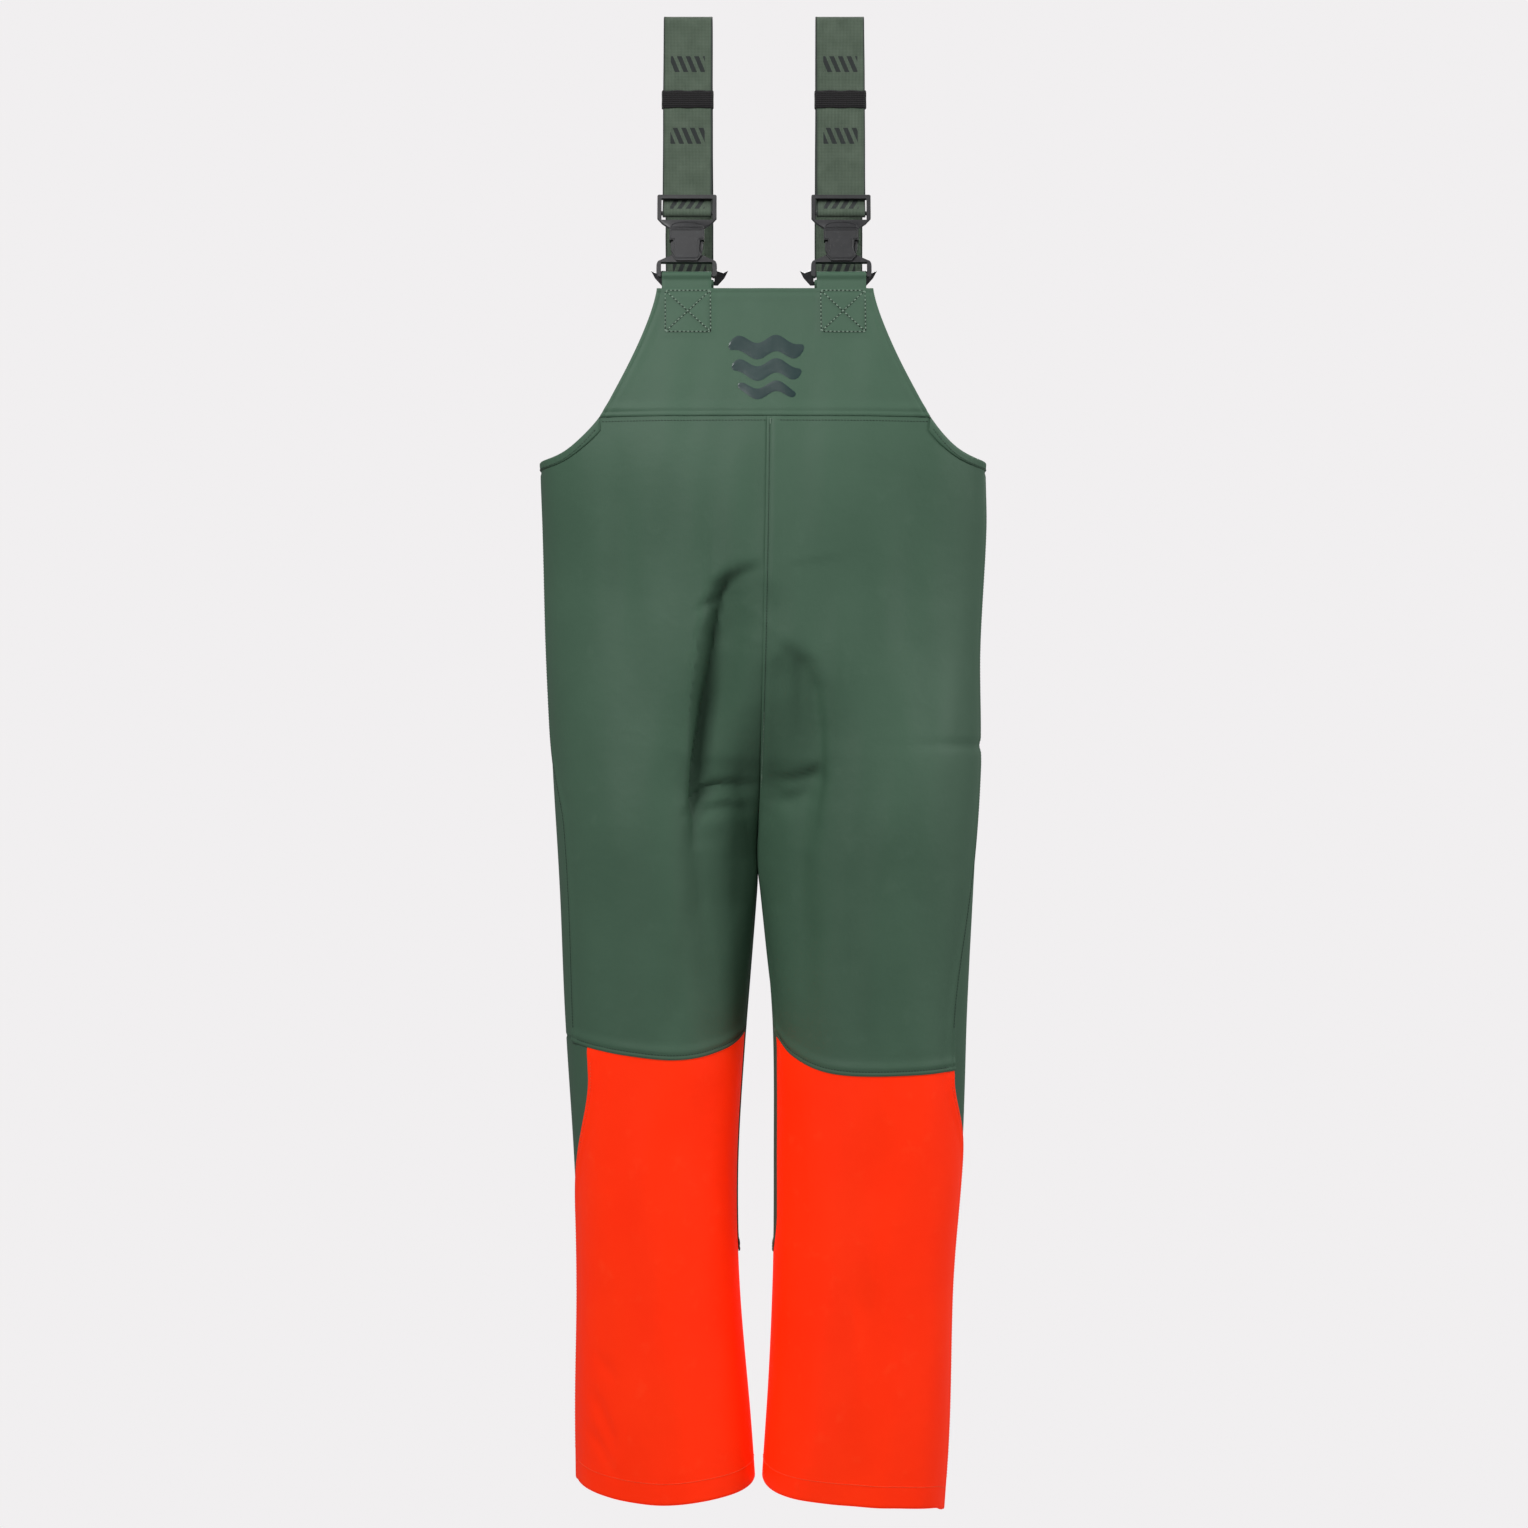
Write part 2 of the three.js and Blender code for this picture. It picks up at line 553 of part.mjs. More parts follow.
// One flexible prong, with the pad that shows in the socket's notch. hand is 1 or -1 along X.
function buckleProng(hand) {
  const outer = SOCKET_W / 2 - SOCKET_WALL - PRONG_ROOM;
  const inner = outer - PRONG_W;
  const padX = SOCKET_W / 2 - SOCKET_WALL + CATCH;
  const topZ = plugFootZ - GAP;
  const footZ = topZ - PRONG_L;
  const catchZ = windowTopZ - GAP;
  const outline = [
    [inner, topZ], [outer, topZ], [outer, catchZ], [padX - 0.8, catchZ],
    ...quarterTurn(outer, footZ, padX, lerp(catchZ, footZ, 0.25), 4).reverse(), [inner + 0.6, footZ],
  ];
  const shape = new THREE.Shape(outline.map(([x, z]) => new THREE.Vector2(hand * x, z)));
  const geometry = new THREE.ExtrudeGeometry(shape, { depth: PRONG_T, bevelEnabled: false });
  return geometry.rotateX(Math.PI / 2).translate(0, PRONG_T / 2, 0);
}

// The ring that joins the webbing to the rear tab, with pointed ears at its ends.
function rearRing() {
  const half = LOOP_W / 2;
  const arm = half - LOOP_ARM_W;
  const side = plate(
    [
      [half - 2, RING_H + BAR_R], [half + RING_EAR / 2, RING_H + BAR_R - 2.5], [half + RING_EAR, RING_H + BAR_R],
      [half + RING_EAR * 0.6, RING_H / 2], [half + 2, 1], [half - 1, -BAR_R],
    ],
    LADDER_T,
  );
  const opening = box(2 * arm, LADDER_T + 2, RING_H + 4 * BAR_R, 0, 0, RING_H / 2);
  return toGeometry(
    toSolid(side)
      .subtract(opening)
      .add(bar(BAR_R, 2 * half - LOOP_ARM_W, 0))
      .add(bar(BAR_R, 2 * half - LOOP_ARM_W, RING_H))
      .translate([0, 0, rearBarZ]),
  );
}

// The rear tab's bar, and the ring's upper bar that the webbing goes round.
const rearBarZ = YOKE_RISE / COS + tabBarZ(REAR_TAB_H);
const rearWebbingBarZ = rearBarZ + RING_H;

function keeper() {
  const outerHalf = WEBBING_W / 2 + GAP + KEEPER_WALL;
  const innerHalf = WEBBING_W / 2 + GAP;
  const near = runY - WEBBING_T / 2 - GAP;
  const far = tailY + WEBBING_T / 2 + GAP;
  const rectangle = (half, low, high) => [
    new THREE.Vector2(-half, low), new THREE.Vector2(half, low),
    new THREE.Vector2(half, high), new THREE.Vector2(-half, high),
  ];
  const shape = new THREE.Shape(rectangle(outerHalf, near - KEEPER_WALL, far + KEEPER_WALL));
  shape.holes.push(new THREE.Path(rectangle(innerHalf, near, far)));
  const geometry = new THREE.ExtrudeGeometry(shape, { depth: KEEPER_H, bevelEnabled: false });
  return geometry.translate(0, 0, KEEPER_Z);
}

// ---------------------------------------------------------------- webbing
// The fixed run: from above the buckle, over the rail, down behind and round the rear ring, sewn to itself.
function braceWebbing(side) {
  const frontTop = alongBrace(1, runY, foldUp);
  const foldDegrees = THREE.MathUtils.radToDeg(LEAN_ANGLE);
  const rearR = BAR_R + GAP + WEBBING_T / 2;
  const endY = runY - WEBBING_T - GAP;
  const swayTop = rearWebbingBarZ + 9;
  const rear = [
    at2(runY, rearWebbingBarZ + 9),
    ...sway(runY, rearWebbingBarZ + 9, rearR, rearWebbingBarZ, 5),
    ...arc(0, rearWebbingBarZ, rearR, 0, -180, 12),
    ...sway(-rearR, rearWebbingBarZ, endY, swayTop, 6),
    at2(endY, swayTop),
    at2(endY, swayTop + SEWN_END_H),
  ];
  const path = [
    alongBrace(1, runY, fixedRunZ),
    frontTop,
    ...arc(0, railZ, foldR, 180 - foldDegrees, foldDegrees, 16).slice(1),
    ...rear.map((point) => alongBrace(-1, point.x, point.y)),
  ];
  return ribbon(path, WEBBING_T, WEBBING_W, side * BRACE_X);
}

// The stretch just above the buckle, which bunches up when the plug slides out of the socket.
function lowerRun() {
  return ribbon([at2(runY, ladderTopZ + GAP), at2(runY, fixedRunZ - GAP)], WEBBING_T, WEBBING_W);
}

// The webbing's turn round the plug's bar, and its free end, which goes back up behind the run.
function webbingTail() {
  const path = [
    at2(runY, ladderTopZ),
    at2(runY, ladderWindowTopZ - 0.6),
    ...sway(runY, ladderWindowTopZ - 0.6, -wrapR, ladderBarZ, 8),
    ...arc(0, ladderBarZ, wrapR, 180, 360, 12),
    ...sway(wrapR, ladderBarZ, tailY, ladderWindowTopZ - 2, 6),
    at2(tailY, ladderWindowTopZ - 2),
    at2(tailY, TAIL_END_Z),
  ];
  return ribbon(path, WEBBING_T, WEBBING_W);
}

// ---------------------------------------------------------------- materials
const finish = (color, roughness, metalness = 0) => new THREE.MeshStandardMaterial({ color, roughness, metalness });
const greenFabric = finish(0x4a6555, 0.55);
const orangeFabric = finish(0xff3b10, 0.5);
const greenWebbing = finish(0x566a57, 0.9);
const blackElastic = finish(0x2b292b, 0.95);
const blackPlastic = finish(0x3b3b3d, 0.6);

function mesh(name, geometry, material) {
  const made = new THREE.Mesh(geometry, material);
  made.name = name;
  return made;
}

// ---------------------------------------------------------------- assembly
const garment = new THREE.Group();
garment.position.z = -railZ;

const level = (z) => () => z;
const hemToCalf = steps(0, CALF_Z, 3);
const calfToKnee = steps(CALF_Z, KNEE_Z, 4);
const kneeToArmhole = [
  ...steps(KNEE_Z, KNEE_Z + SIDE_SEAM_SWING_H, 7),
  ...steps(KNEE_Z + SIDE_SEAM_SWING_H, panelTop(1)(0), 2).slice(1),
];
// From the outside of the bib to its facing, which lies behind the tabs.
const facingDepth = (BIB_TOP_DEPTH / 2 - braceY) * COS + TAB_T + GAP / 2 + 2 * GAP;

garment.add(
  mesh(
    "bib_panel",
    chestPiece(1, BIB_SEAM_Z + GAP / 2, BIB_TOP_Z, bibHalf, 14, 5, 0, FABRIC_T),
    greenFabric,
  ),
  mesh(
    "back_yoke",
    chestPiece(-1, BIB_SEAM_Z + GAP / 2, YOKE_TOP_Z, yokeHalf, 14, 5, 0, FABRIC_T),
    greenFabric,
  ),
  mesh(
    "bib_facing",
    chestPiece(
      1, BIB_TOP_Z - FACING_H, BIB_TOP_Z - 1, (z) => bibHalf(z) - FACING_INSET, 12, 2,
      -facingDepth, facingDepth + FABRIC_T,
    ),
    greenFabric,
  ),
  mesh(
    "yoke_facing",
    chestPiece(
      -1, YOKE_TOP_Z - FACING_H, YOKE_TOP_Z - 1, (z) => yokeHalf(z) - FACING_INSET, 12, 2,
      -facingDepth, facingDepth + FABRIC_T,
    ),
    greenFabric,
  ),
);

for (const [hand, side] of [["left", 1], ["right", -1]]) {
  const aboveKnee = (p) => kneeSeam(p) + GAP / 2;
  const belowKnee = (p) => kneeSeam(p) - GAP / 2;
  garment.add(
    mesh(`${hand}_front_panel`, panel(side, 1, aboveKnee, panelTop(1), kneeToArmhole), greenFabric),
    mesh(
      `${hand}_back_panel`,
      panel(side, -1, level(CALF_Z + GAP / 2), panelTop(-1), [...calfToKnee, ...kneeToArmhole.slice(1)]),
      greenFabric,
    ),
    mesh(
      `${hand}_shin_panel`,
      panel(side, 1, level(0), belowKnee, [...hemToCalf, ...calfToKnee.slice(1)]),
      orangeFabric,
    ),
    mesh(`${hand}_calf_panel`, panel(side, -1, level(0), level(CALF_Z - GAP / 2), hemToCalf), orangeFabric),
    mesh(`${hand}_armhole_binding`, armholeBinding(side), greenFabric),
    mesh(`${hand}_hem_band`, hemBand(side), orangeFabric),
    mesh(`${hand}_brace_webbing`, braceWebbing(side), greenWebbing),
  );

  const front = braceGroup(side, 1);
  front.add(
    mesh(`${hand}_front_tab`, tab(FRONT_TAB_H), greenFabric),
    mesh(`${hand}_buckle_socket`, buckleSocket(), blackPlastic),
    mesh(`${hand}_buckle_plug`, bucklePlug(), blackPlastic),
    mesh(`${hand}_outer_prong`, buckleProng(side), blackPlastic),
    mesh(`${hand}_inner_prong`, buckleProng(-side), blackPlastic),
    mesh(`${hand}_webbing_lower_run`, lowerRun(), greenWebbing),
    mesh(`${hand}_webbing_tail`, webbingTail(), greenWebbing),
    mesh(`${hand}_keeper`, keeper(), blackElastic),
  );

  const rear = braceGroup(side, -1);
  rear.add(
    mesh(`${hand}_rear_tab`, tab(REAR_TAB_H).translate(0, 0, YOKE_RISE / COS), greenFabric),
    mesh(`${hand}_rear_ring`, rearRing(), blackPlastic),
  );
  garment.add(front, rear);
}

const bibTrousers = new THREE.Group();
bibTrousers.add(garment);

export default bibTrousers;
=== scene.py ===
"""Waterproof bib-and-brace fishing trousers, hung by their braces.

Garment measures are in millimetres above the hem. -Y is the front and +X is the wearer's left side.
"""

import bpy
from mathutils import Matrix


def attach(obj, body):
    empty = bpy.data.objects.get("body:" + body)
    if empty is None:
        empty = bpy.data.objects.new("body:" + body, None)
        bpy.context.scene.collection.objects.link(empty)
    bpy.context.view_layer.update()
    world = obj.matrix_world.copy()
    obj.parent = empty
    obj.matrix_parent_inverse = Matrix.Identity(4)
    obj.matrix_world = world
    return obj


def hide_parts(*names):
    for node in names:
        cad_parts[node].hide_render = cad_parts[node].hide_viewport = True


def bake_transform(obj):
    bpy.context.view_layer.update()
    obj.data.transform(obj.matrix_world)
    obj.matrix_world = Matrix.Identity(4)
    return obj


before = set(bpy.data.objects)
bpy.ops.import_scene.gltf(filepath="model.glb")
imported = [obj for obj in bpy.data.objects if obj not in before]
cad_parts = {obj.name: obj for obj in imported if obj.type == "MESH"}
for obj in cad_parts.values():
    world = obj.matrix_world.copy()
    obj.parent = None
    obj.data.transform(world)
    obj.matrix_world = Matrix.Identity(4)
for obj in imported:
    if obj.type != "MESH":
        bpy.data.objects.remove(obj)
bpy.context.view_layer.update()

import math
from functools import partial

import bmesh
import bpy
import numpy as np
from mathutils import Vector

# ---- camera
RAIL = 1497.759  # height of the rail's axis above the hem
CAMERA_DISTANCE = 3.2
CAMERA_HEIGHT = 738
LENS = 73.2


def add_object(name, data):
    made = bpy.data.objects.new(name, data)
    bpy.context.scene.collection.objects.link(made)
    return made


def place_camera():
    data = bpy.data.cameras.new("camera")
    data.lens = LENS
    data.sensor_width = 36
    camera = add_object("camera", data)
    camera.location = (0, -CAMERA_DISTANCE, (CAMERA_HEIGHT - RAIL) / 1000)
    camera.rotation_euler = (math.radians(90), 0, 0)
    bpy.context.scene.camera = camera


place_camera()

# ---- the cut of the garment
CALF, KNEE, FORK, RISE_TOP, ARMHOLE = 237, 448, 634, 900, 1046
BIB_SEAM, BIB_TOP, YOKE_TOP = 1086, 1217, 1227
BIB_FOOT_HALF, YOKE_FOOT_HALF = 166, 154  # half the width where they are sewn on
BIB_TOP_DEPTH = 73  # half the depth at the bib's top
CLOTH_T = 1.1
EDGE_HOLLOW = 1.35  # how far the edges beside the arms curve in
LEAN = 0.2  # of the bib, away from upright
BRACE_X = 78
WEBBING_W = 50
WEBBING_T = 1.6
TAB_T = 1.4


def smooth(t):
    t = np.clip(t, 0, 1)
    return t * t * (3 - 2 * t)


def lerp(a, b, t):
    return a + (b - a) * t


def hump(distance, width):
    return np.exp(-((distance / width) ** 2))


def profile(*stations):
    """A smooth curve through (place, value) stations, level beyond its ends."""
    places, values = np.array(stations, float).T
    before = np.maximum(np.arange(len(places)) - 1, 0)
    after = np.minimum(np.arange(len(places)) + 1, len(places) - 1)
    slopes = (values[after] - values[before]) / (places[after] - places[before])

    def at(place):
        i = np.clip(np.searchsorted(places, place, side="right") - 1, 0, len(places) - 2)
        span = places[i + 1] - places[i]
        t = np.clip((place - places[i]) / span, 0, 1)
        bend = t * (1 - t) * ((1 - t) * slopes[i] - t * slopes[i + 1]) * span
        return values[i] + t * t * (3 - 2 * t) * (values[i + 1] - values[i]) + bend

    return at


half_span = profile((0, 189), (CALF, 195), (KNEE, 205.5), (FORK, 214), (ARMHOLE, 227))
half_gap = profile((0, 3.5), (CALF, 18), (KNEE, 15), (FORK, 0))
leg_half_depth = profile((0, 82), (CALF, 83), (KNEE, 90), (FORK, 103), (RISE_TOP, 125))
low_half_depth = profile((FORK, 125), (RISE_TOP, 111), (ARMHOLE, 107.2))


def body_half_depth(z):
    """The lesser of the trunk's and the leaning bib's half depth, with a soft change between them."""
    soft, leaning = 2.5, BIB_TOP_DEPTH + LEAN * (BIB_TOP - z)
    return -soft * np.log(np.exp(-low_half_depth(z) / soft) + np.exp(-leaning / soft))


def squareness(z):
    return lerp(2, 4, smooth((z - RISE_TOP) / (BIB_TOP - RISE_TOP)))


def leg_share(z):
    return smooth(1 - (z - FORK) / (RISE_TOP - FORK)) ** 1.5


def section(s, z):
    """Half of the outline at a height. s is 0 at the side, 1 at the front's middle and -1 at the back's."""
    phi = np.pi / 2 * s
    n = squareness(z)
    reach = (np.abs(np.cos(phi)) ** n + np.abs(np.sin(phi)) ** n) ** (-1 / n)
    legs, gap, span = leg_share(z), half_gap(z), half_span(z)
    leg_x = (span + gap) / 2 + (span - gap) / 2 * np.cos(np.pi * s)
    x = lerp(span * reach * np.cos(phi), leg_x, legs)
    y = lerp(body_half_depth(z) * reach * np.sin(phi), leg_half_depth(z) * np.sin(np.pi * s), legs)
    return x, y


def share_at(x, z):
    """The share s at which a chest section is x from the middle."""
    n = squareness(z)
    across = np.abs(x) / half_span(z)
    return 2 / np.pi * np.arctan2((1 - across**n) ** (1 / n), across)


# ---- how this pair hangs
# The outline's middle and sides moved in x, and the hem's fall, each by side of the body.
middle_shift = profile(
    (0, -5.6), (83, -6), (206, -8.2), (330, -8.6), (485, -4.7), (608, -5.5), (650, -7), (716, -4),
    (BIB_SEAM, 3), (BIB_TOP, 2),
)
outer_shift = {
    1: profile(
        (0, -4.6), (83, -0.8), (206, -0.2), (330, 4.2), (485, 1.8), (608, 2.3), (732, 4.6), (750, 4.0),
        (757, 2.0), (765, 3.4), (855, 0.2), (979, 2.6), (ARMHOLE, -0.4), (BIB_SEAM, 0),
    ),
    -1: profile(
        (0, 3.6), (83, 2.3), (206, -2.2), (330, -4), (485, -2.3), (608, -2.9), (732, 0), (855, 2.2),
        (979, 1.6), (ARMHOLE, 1.7), (BIB_SEAM, 0),
    ),
}
hem_drop = {
    1: profile((-1, -5), (-0.5, 2), (-0.15, 20), (0, 28), (0.15, 19), (0.5, 7), (0.8, 3), (1, -5)),
    -1: profile((-1, -5), (-0.5, 4), (0, -5), (0.25, 1), (0.5, 6), (0.75, 2), (1, -5)),
}

# Each crease is a line of (x, z, depth) stations, with how far it reaches to its left and to its right,
# seen along the line.
FRONT_CREASES = [
    # the deep fold from the middle seam down the wearer's right thigh, and the leg falling away below it
    ([(2, 932, 0), (-22, 927, 7), (-42, 912, 17), (-54, 866, 27), (-62, 802, 35), (-63, 742, 34),
      (-62, 710, 22), (-60, 680, 6), (-60, 650, 0)], 7, 48),
    ([(-56, 745, 0), (-56, 705, 12), (-50, 660, 18), (-46, 600, 17), (-42, 540, 12), (-40, 480, 6),
      (-38, 425, 0)], 26, 150),
    # the softer fold of the other thigh, and its leg falling away
    ([(14, 850, 0), (26, 846, 5), (39, 834, 10), (49, 812, 13), (52, 772, 14), (50, 732, 12), (43, 690, 5),
      (38, 650, 0)], 34, 9),
    ([(32, 740, 0), (28, 700, 9), (24, 640, 15), (25, 580, 13), (28, 520, 8), (32, 470, 3), (34, 430, 0)],
     150, 22),
    # the wedge where the legs part
    ([(-3, 740, 0), (-4, 700, 6), (-5, 670, 14), (-7, 640, 18), (-7, 600, 14)], 14, 13),
    # small wrinkles across the fork
    ([(-64, 700, 4), (-48, 711, 8), (-34, 717, 8), (-16, 718, 7), (-2, 715, 5)], 15, 4),
    ([(-54, 684, 2), (-40, 693, 7), (-22, 696, 8), (-6, 690, 5)], 10, 4),
    ([(2, 722, 5), (20, 722, 8), (38, 727, 8), (54, 737, 1)], 15, 5),
    ([(0, 700, 8), (12, 701, 11), (26, 707, 6), (42, 716, 0)], 14, 6),
    # broad soft hollows of the hanging cloth
    ([(-146, 1078, 3), (-146, 1000, 5), (-142, 900, 4), (-140, 800, 1)], 20, 26),
    ([(150, 1075, 2), (152, 980, 3), (150, 860, 3), (146, 760, 0)], 30, 24),
    ([(-166, 680, 1), (-166, 600, 4), (-164, 520, 4), (-160, 470, 1)], 22, 26),
    ([(150, 700, 0), (158, 600, 3), (160, 500, 2), (160, 450, 0)], 24, 20),
    ([(96, 700, 0), (88, 620, 2), (90, 540, 3), (92, 470, 1)], 12, 14),
    ([(-70, 600, 0), (-84, 540, 2), (-90, 480, 2), (-92, 450, 0)], 14, 12),
    # a pinch at the wearer's left hip
    ([(226, 757, 2), (216, 756, 2), (204, 753, 0)], 4, 5),
    # shins
    ([(-70, 430, 0), (-66, 330, 4), (-64, 200, 4), (-62, 90, 3), (-60, 0, 2)], 16, 30),
    ([(-168, 300, 0), (-162, 200, 3), (-166, 100, 3), (-170, 0, 2)], 20, 18),
    ([(30, 430, 0), (34, 330, 3), (32, 200, 4), (26, 80, 3), (24, 0, 2)], 14, 22),
    ([(150, 400, 0), (154, 300, 3), (150, 180, 4), (148, 60, 3), (150, 0, 2)], 26, 18),
    ([(-182, 112, 0), (-168, 88, 3), (-156, 62, 3), (-150, 40, 0)], 7, 6),
    ([(-184, 70, 0), (-170, 52, 3), (-158, 34, 2), (-146, 14, 0)], 6, 6),
    ([(-178, 148, 0), (-160, 128, 2), (-148, 110, 0)], 7, 6),
    ([(96, 240, 0), (100, 190, 2), (98, 140, 0)], 8, 10),
]
BACK_CREASES = [
    ([(4, 838, 0), (22, 824, 4), (38, 796, 8), (47, 750, 9), (46, 700, 7), (40, 640, 4), (36, 570, 0)],
     34, 12),
    ([(-30, 770, 0), (-50, 742, 4), (-62, 700, 7), (-62, 650, 6), (-56, 590, 3), (-54, 530, 0)], 14, 40),
    ([(3, 740, 0), (2, 700, 6), (0, 660, 13), (-3, 630, 16), (-5, 600, 12)], 11, 11),
    ([(-54, 714, 2), (-30, 722, 5), (-4, 716, 4), (24, 722, 5), (50, 712, 2)], 6, 6),
    ([(-40, 690, 1), (-16, 696, 4), (14, 694, 4), (38, 688, 1)], 6, 6),
    ([(140, 1070, 3), (140, 960, 5), (136, 840, 4), (130, 760, 0)], 24, 28),
    ([(-138, 1070, 3), (-142, 960, 5), (-140, 860, 3), (-134, 780, 0)], 26, 22),
    ([(64, 560, 0), (70, 500, 3), (72, 420, 5), (66, 330, 3), (62, 240, 2)], 14, 26),
    ([(-66, 560, 0), (-74, 500, 3), (-76, 420, 5), (-68, 330, 3), (-66, 240, 2)], 26, 14),
    ([(150, 430, 2), (120, 440, 5), (84, 436, 4), (56, 424, 0)], 10, 8),
    ([(-152, 440, 1), (-124, 446, 4), (-90, 438, 5), (-60, 430, 0)], 9, 8),
    ([(146, 400, 0), (118, 408, 4), (86, 402, 3), (62, 396, 0)], 8, 8),
    ([(70, 230, 1), (64, 140, 4), (62, 60, 3), (60, 0, 2)], 18, 22),
    ([(-140, 230, 1), (-146, 140, 4), (-144, 60, 3), (-142, 0, 2)], 24, 18),
]


def pressed(creases, x, z):
    """How deep the creases press the cloth in at (x, z)."""
    depth = np.zeros_like(x)
    for line, left, right in creases:
        line = np.array(line, float)
        nearest = np.full_like(x, 1e9)
        weight, deep, wide = 1e-12 + 0 * x, 0 * x, 0 * x
        for (x0, z0, d0), (x1, z1, d1) in zip(line[:-1], line[1:]):
            dx, dz = x1 - x0, z1 - z0
            length = math.hypot(dx, dz)
            t = np.clip(((x - x0) * dx + (z - z0) * dz) / length**2, 0, 1)
            away = np.hypot(x - x0 - t * dx, z - z0 - t * dz)
            beside = ((x - x0) * dz - (z - z0) * dx) / length
            near = 1 / (away**2 + 20) ** 2
            weight += near
            deep += near * lerp(d0, d1, t)
            wide += near * lerp(right, left, smooth(0.5 + beside / 6))
            nearest = np.minimum(away, nearest)
        depth += deep / weight * hump(nearest, wide / weight)
    return depth


def rolling(x, z, seed):
    """The slow unevenness of cloth that hangs, within about 1 mm, in waves of 38 by 120 mm or more."""
    random = np.random.default_rng(seed)
    height = np.zeros_like(x)
    for _ in range(14):
        across, along = random.uniform(-1, 1) / 38, random.uniform(-1, 1) / 120
        phase = random.uniform(0, 6.28)
        height += 0.2 * np.sin(2 * np.pi * (across * x + along * z) + phase)
    return height


def pick(by_side, side, place):
    return np.where(np.asarray(side) > 0, by_side[1](place), by_side[-1](place))


def skin(side, s, z, offset=0.0):
    """Points of the cloth, moved out by offset, and the directions that face out."""
    side, s, z, offset = (np.array(v, float) for v in np.broadcast_arrays(side, s, z, offset))
    x, y = section(s, z)
    (x0, y0), (x1, y1) = section(s - 1e-4, z), section(s + 1e-4, z)
    out_x, out_y = y1 - y0, x0 - x1
    length = np.hypot(out_x, out_y)
    out_x, out_y = out_x / length, out_y / length
    gap, span = half_gap(z), half_span(z)
    outer = np.clip((x - gap) / (span - gap), 0, 1)
    across = side * x + lerp(middle_shift(z), side * pick(outer_shift, side, z), outer)
    front = s > 0
    depth = np.where(front, pressed(FRONT_CREASES, across, z), pressed(BACK_CREASES, across, z))
    wave = np.where(front, rolling(across, z, 3), rolling(across, z, 8))
    facing = np.clip(np.abs(out_y), 0, 1)
    body = smooth((BIB_TOP - 20 - z) / 120)
    lift = offset + (wave * (0.25 + 0.75 * body) - depth) * facing**1.5
    fall = pick(hem_drop, side, s) * smooth(1 - z / 200)
    free = np.maximum(smooth((1 - np.abs(s)) / 0.07), smooth((FORK - z) / 40))
    points = np.stack([across + side * out_x * lift * free, -(y + out_y * lift), z - fall], -1)
    return points, np.stack([side * out_x, -out_y, 0 * z], -1)


# ---- seam lines
UNDERLAP = 7  # how far one panel reaches under the next at a seam
SEAM_STITCH = 4.6  # from a panel's edge to its stitching
BIB_STITCH = 4.8  # from the bib's seam down to its second row
BINDING_STITCH = 7.0  # from the armhole's edge
HEM_STITCH = 21  # above the hem


def body_seam(side, z):
    """How far forward of the side the seam of the front panel runs, as a share s."""
    return 0.17 * smooth((760 - z) / 300) if side > 0 else 0.14 * smooth((804 - z) / 130)


def shin_seam(side, z):
    """The same for the shin panel."""
    return 0.17 * smooth((z - 316) / 104) if side > 0 else 0.235 * smooth((z - 254) / 170)


def back_seam(side, z):
    """The front edge of the back panel, which reaches under both."""
    knee = float(knee_line[side](0))
    return lerp(shin_seam(side, z), body_seam(side, z), smooth((z - knee - 1) / 5)) + 0.02


def inner_seam(side, z):
    """Where the inside-leg seam runs on the front."""
    swing = 0.075 * smooth((z - 215) / 60) * smooth((560 - z) / 120)
    return 1 - (swing if side > 0 else 0.3 * swing)


knee_line = {
    1: profile((0, 427), (0.3, 425), (0.62, 427), (0.85, 443), (1, 464)),
    -1: profile((0, 456), (0.3, 446), (0.55, 441), (0.8, 450), (1, 466)),
}
bib_corner = float(share_at(BIB_FOOT_HALF, BIB_SEAM))
yoke_corner = float(share_at(YOKE_FOOT_HALF, BIB_SEAM))


def armhole(s):
    corner = np.where(np.asarray(s) > 0, bib_corner, yoke_corner)
    return ARMHOLE + (BIB_SEAM - ARMHOLE) * (np.abs(s) / corner) ** 6


def chest_half(foot, top, top_z, z):
    """Half the width of the bib or the yoke at a height."""
    return top + (foot - top) * np.clip((top_z - z) / (top_z - BIB_SEAM), 0, 1) ** EDGE_HOLLOW


bib_half = partial(chest_half, BIB_FOOT_HALF, 109, BIB_TOP)
yoke_half = partial(chest_half, YOKE_FOOT_HALF, 107, YOKE_TOP)


# ---- meshes
def to_row(points):
    points = np.array(points, float)
    points[..., 2] -= RAIL
    return points / 1000


def make_piece(name, shape, material, sharp=40):
    """A smooth-shaded piece. Its shape is points, faces and each point's place on its cloth, or None."""
    points, faces, uv = shape
    mesh = bpy.data.meshes.new(name)
    mesh.from_pydata(to_row(points).reshape(-1, 3).tolist(), [], faces)
    if uv is not None:
        layer = mesh.uv_layers.new(name="cloth")
        corner = np.zeros(len(mesh.loops), np.int32)
        mesh.loops.foreach_get("vertex_index", corner)
        layer.data.foreach_set("uv", (np.asarray(uv, float).reshape(-1, 2)[corner] / 1000).ravel())
    build = bmesh.new()
    build.from_mesh(mesh)
    bmesh.ops.recalc_face_normals(build, faces=build.faces)
    build.to_mesh(mesh)
    build.free()
    mesh.shade_smooth()
    mesh.set_sharp_from_angle(angle=math.radians(sharp))
    mesh.materials.append(material)
    return add_object(name, mesh)


def fit(piece, body, node=None):
    """Says what body a piece rides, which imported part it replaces."""
    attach(piece, body)
    if node:
        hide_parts(node)


def run_along(line):
    """How far along a line each of its points is."""
    return np.concatenate([[0], np.cumsum(np.linalg.norm(np.diff(line, axis=0), axis=1))])


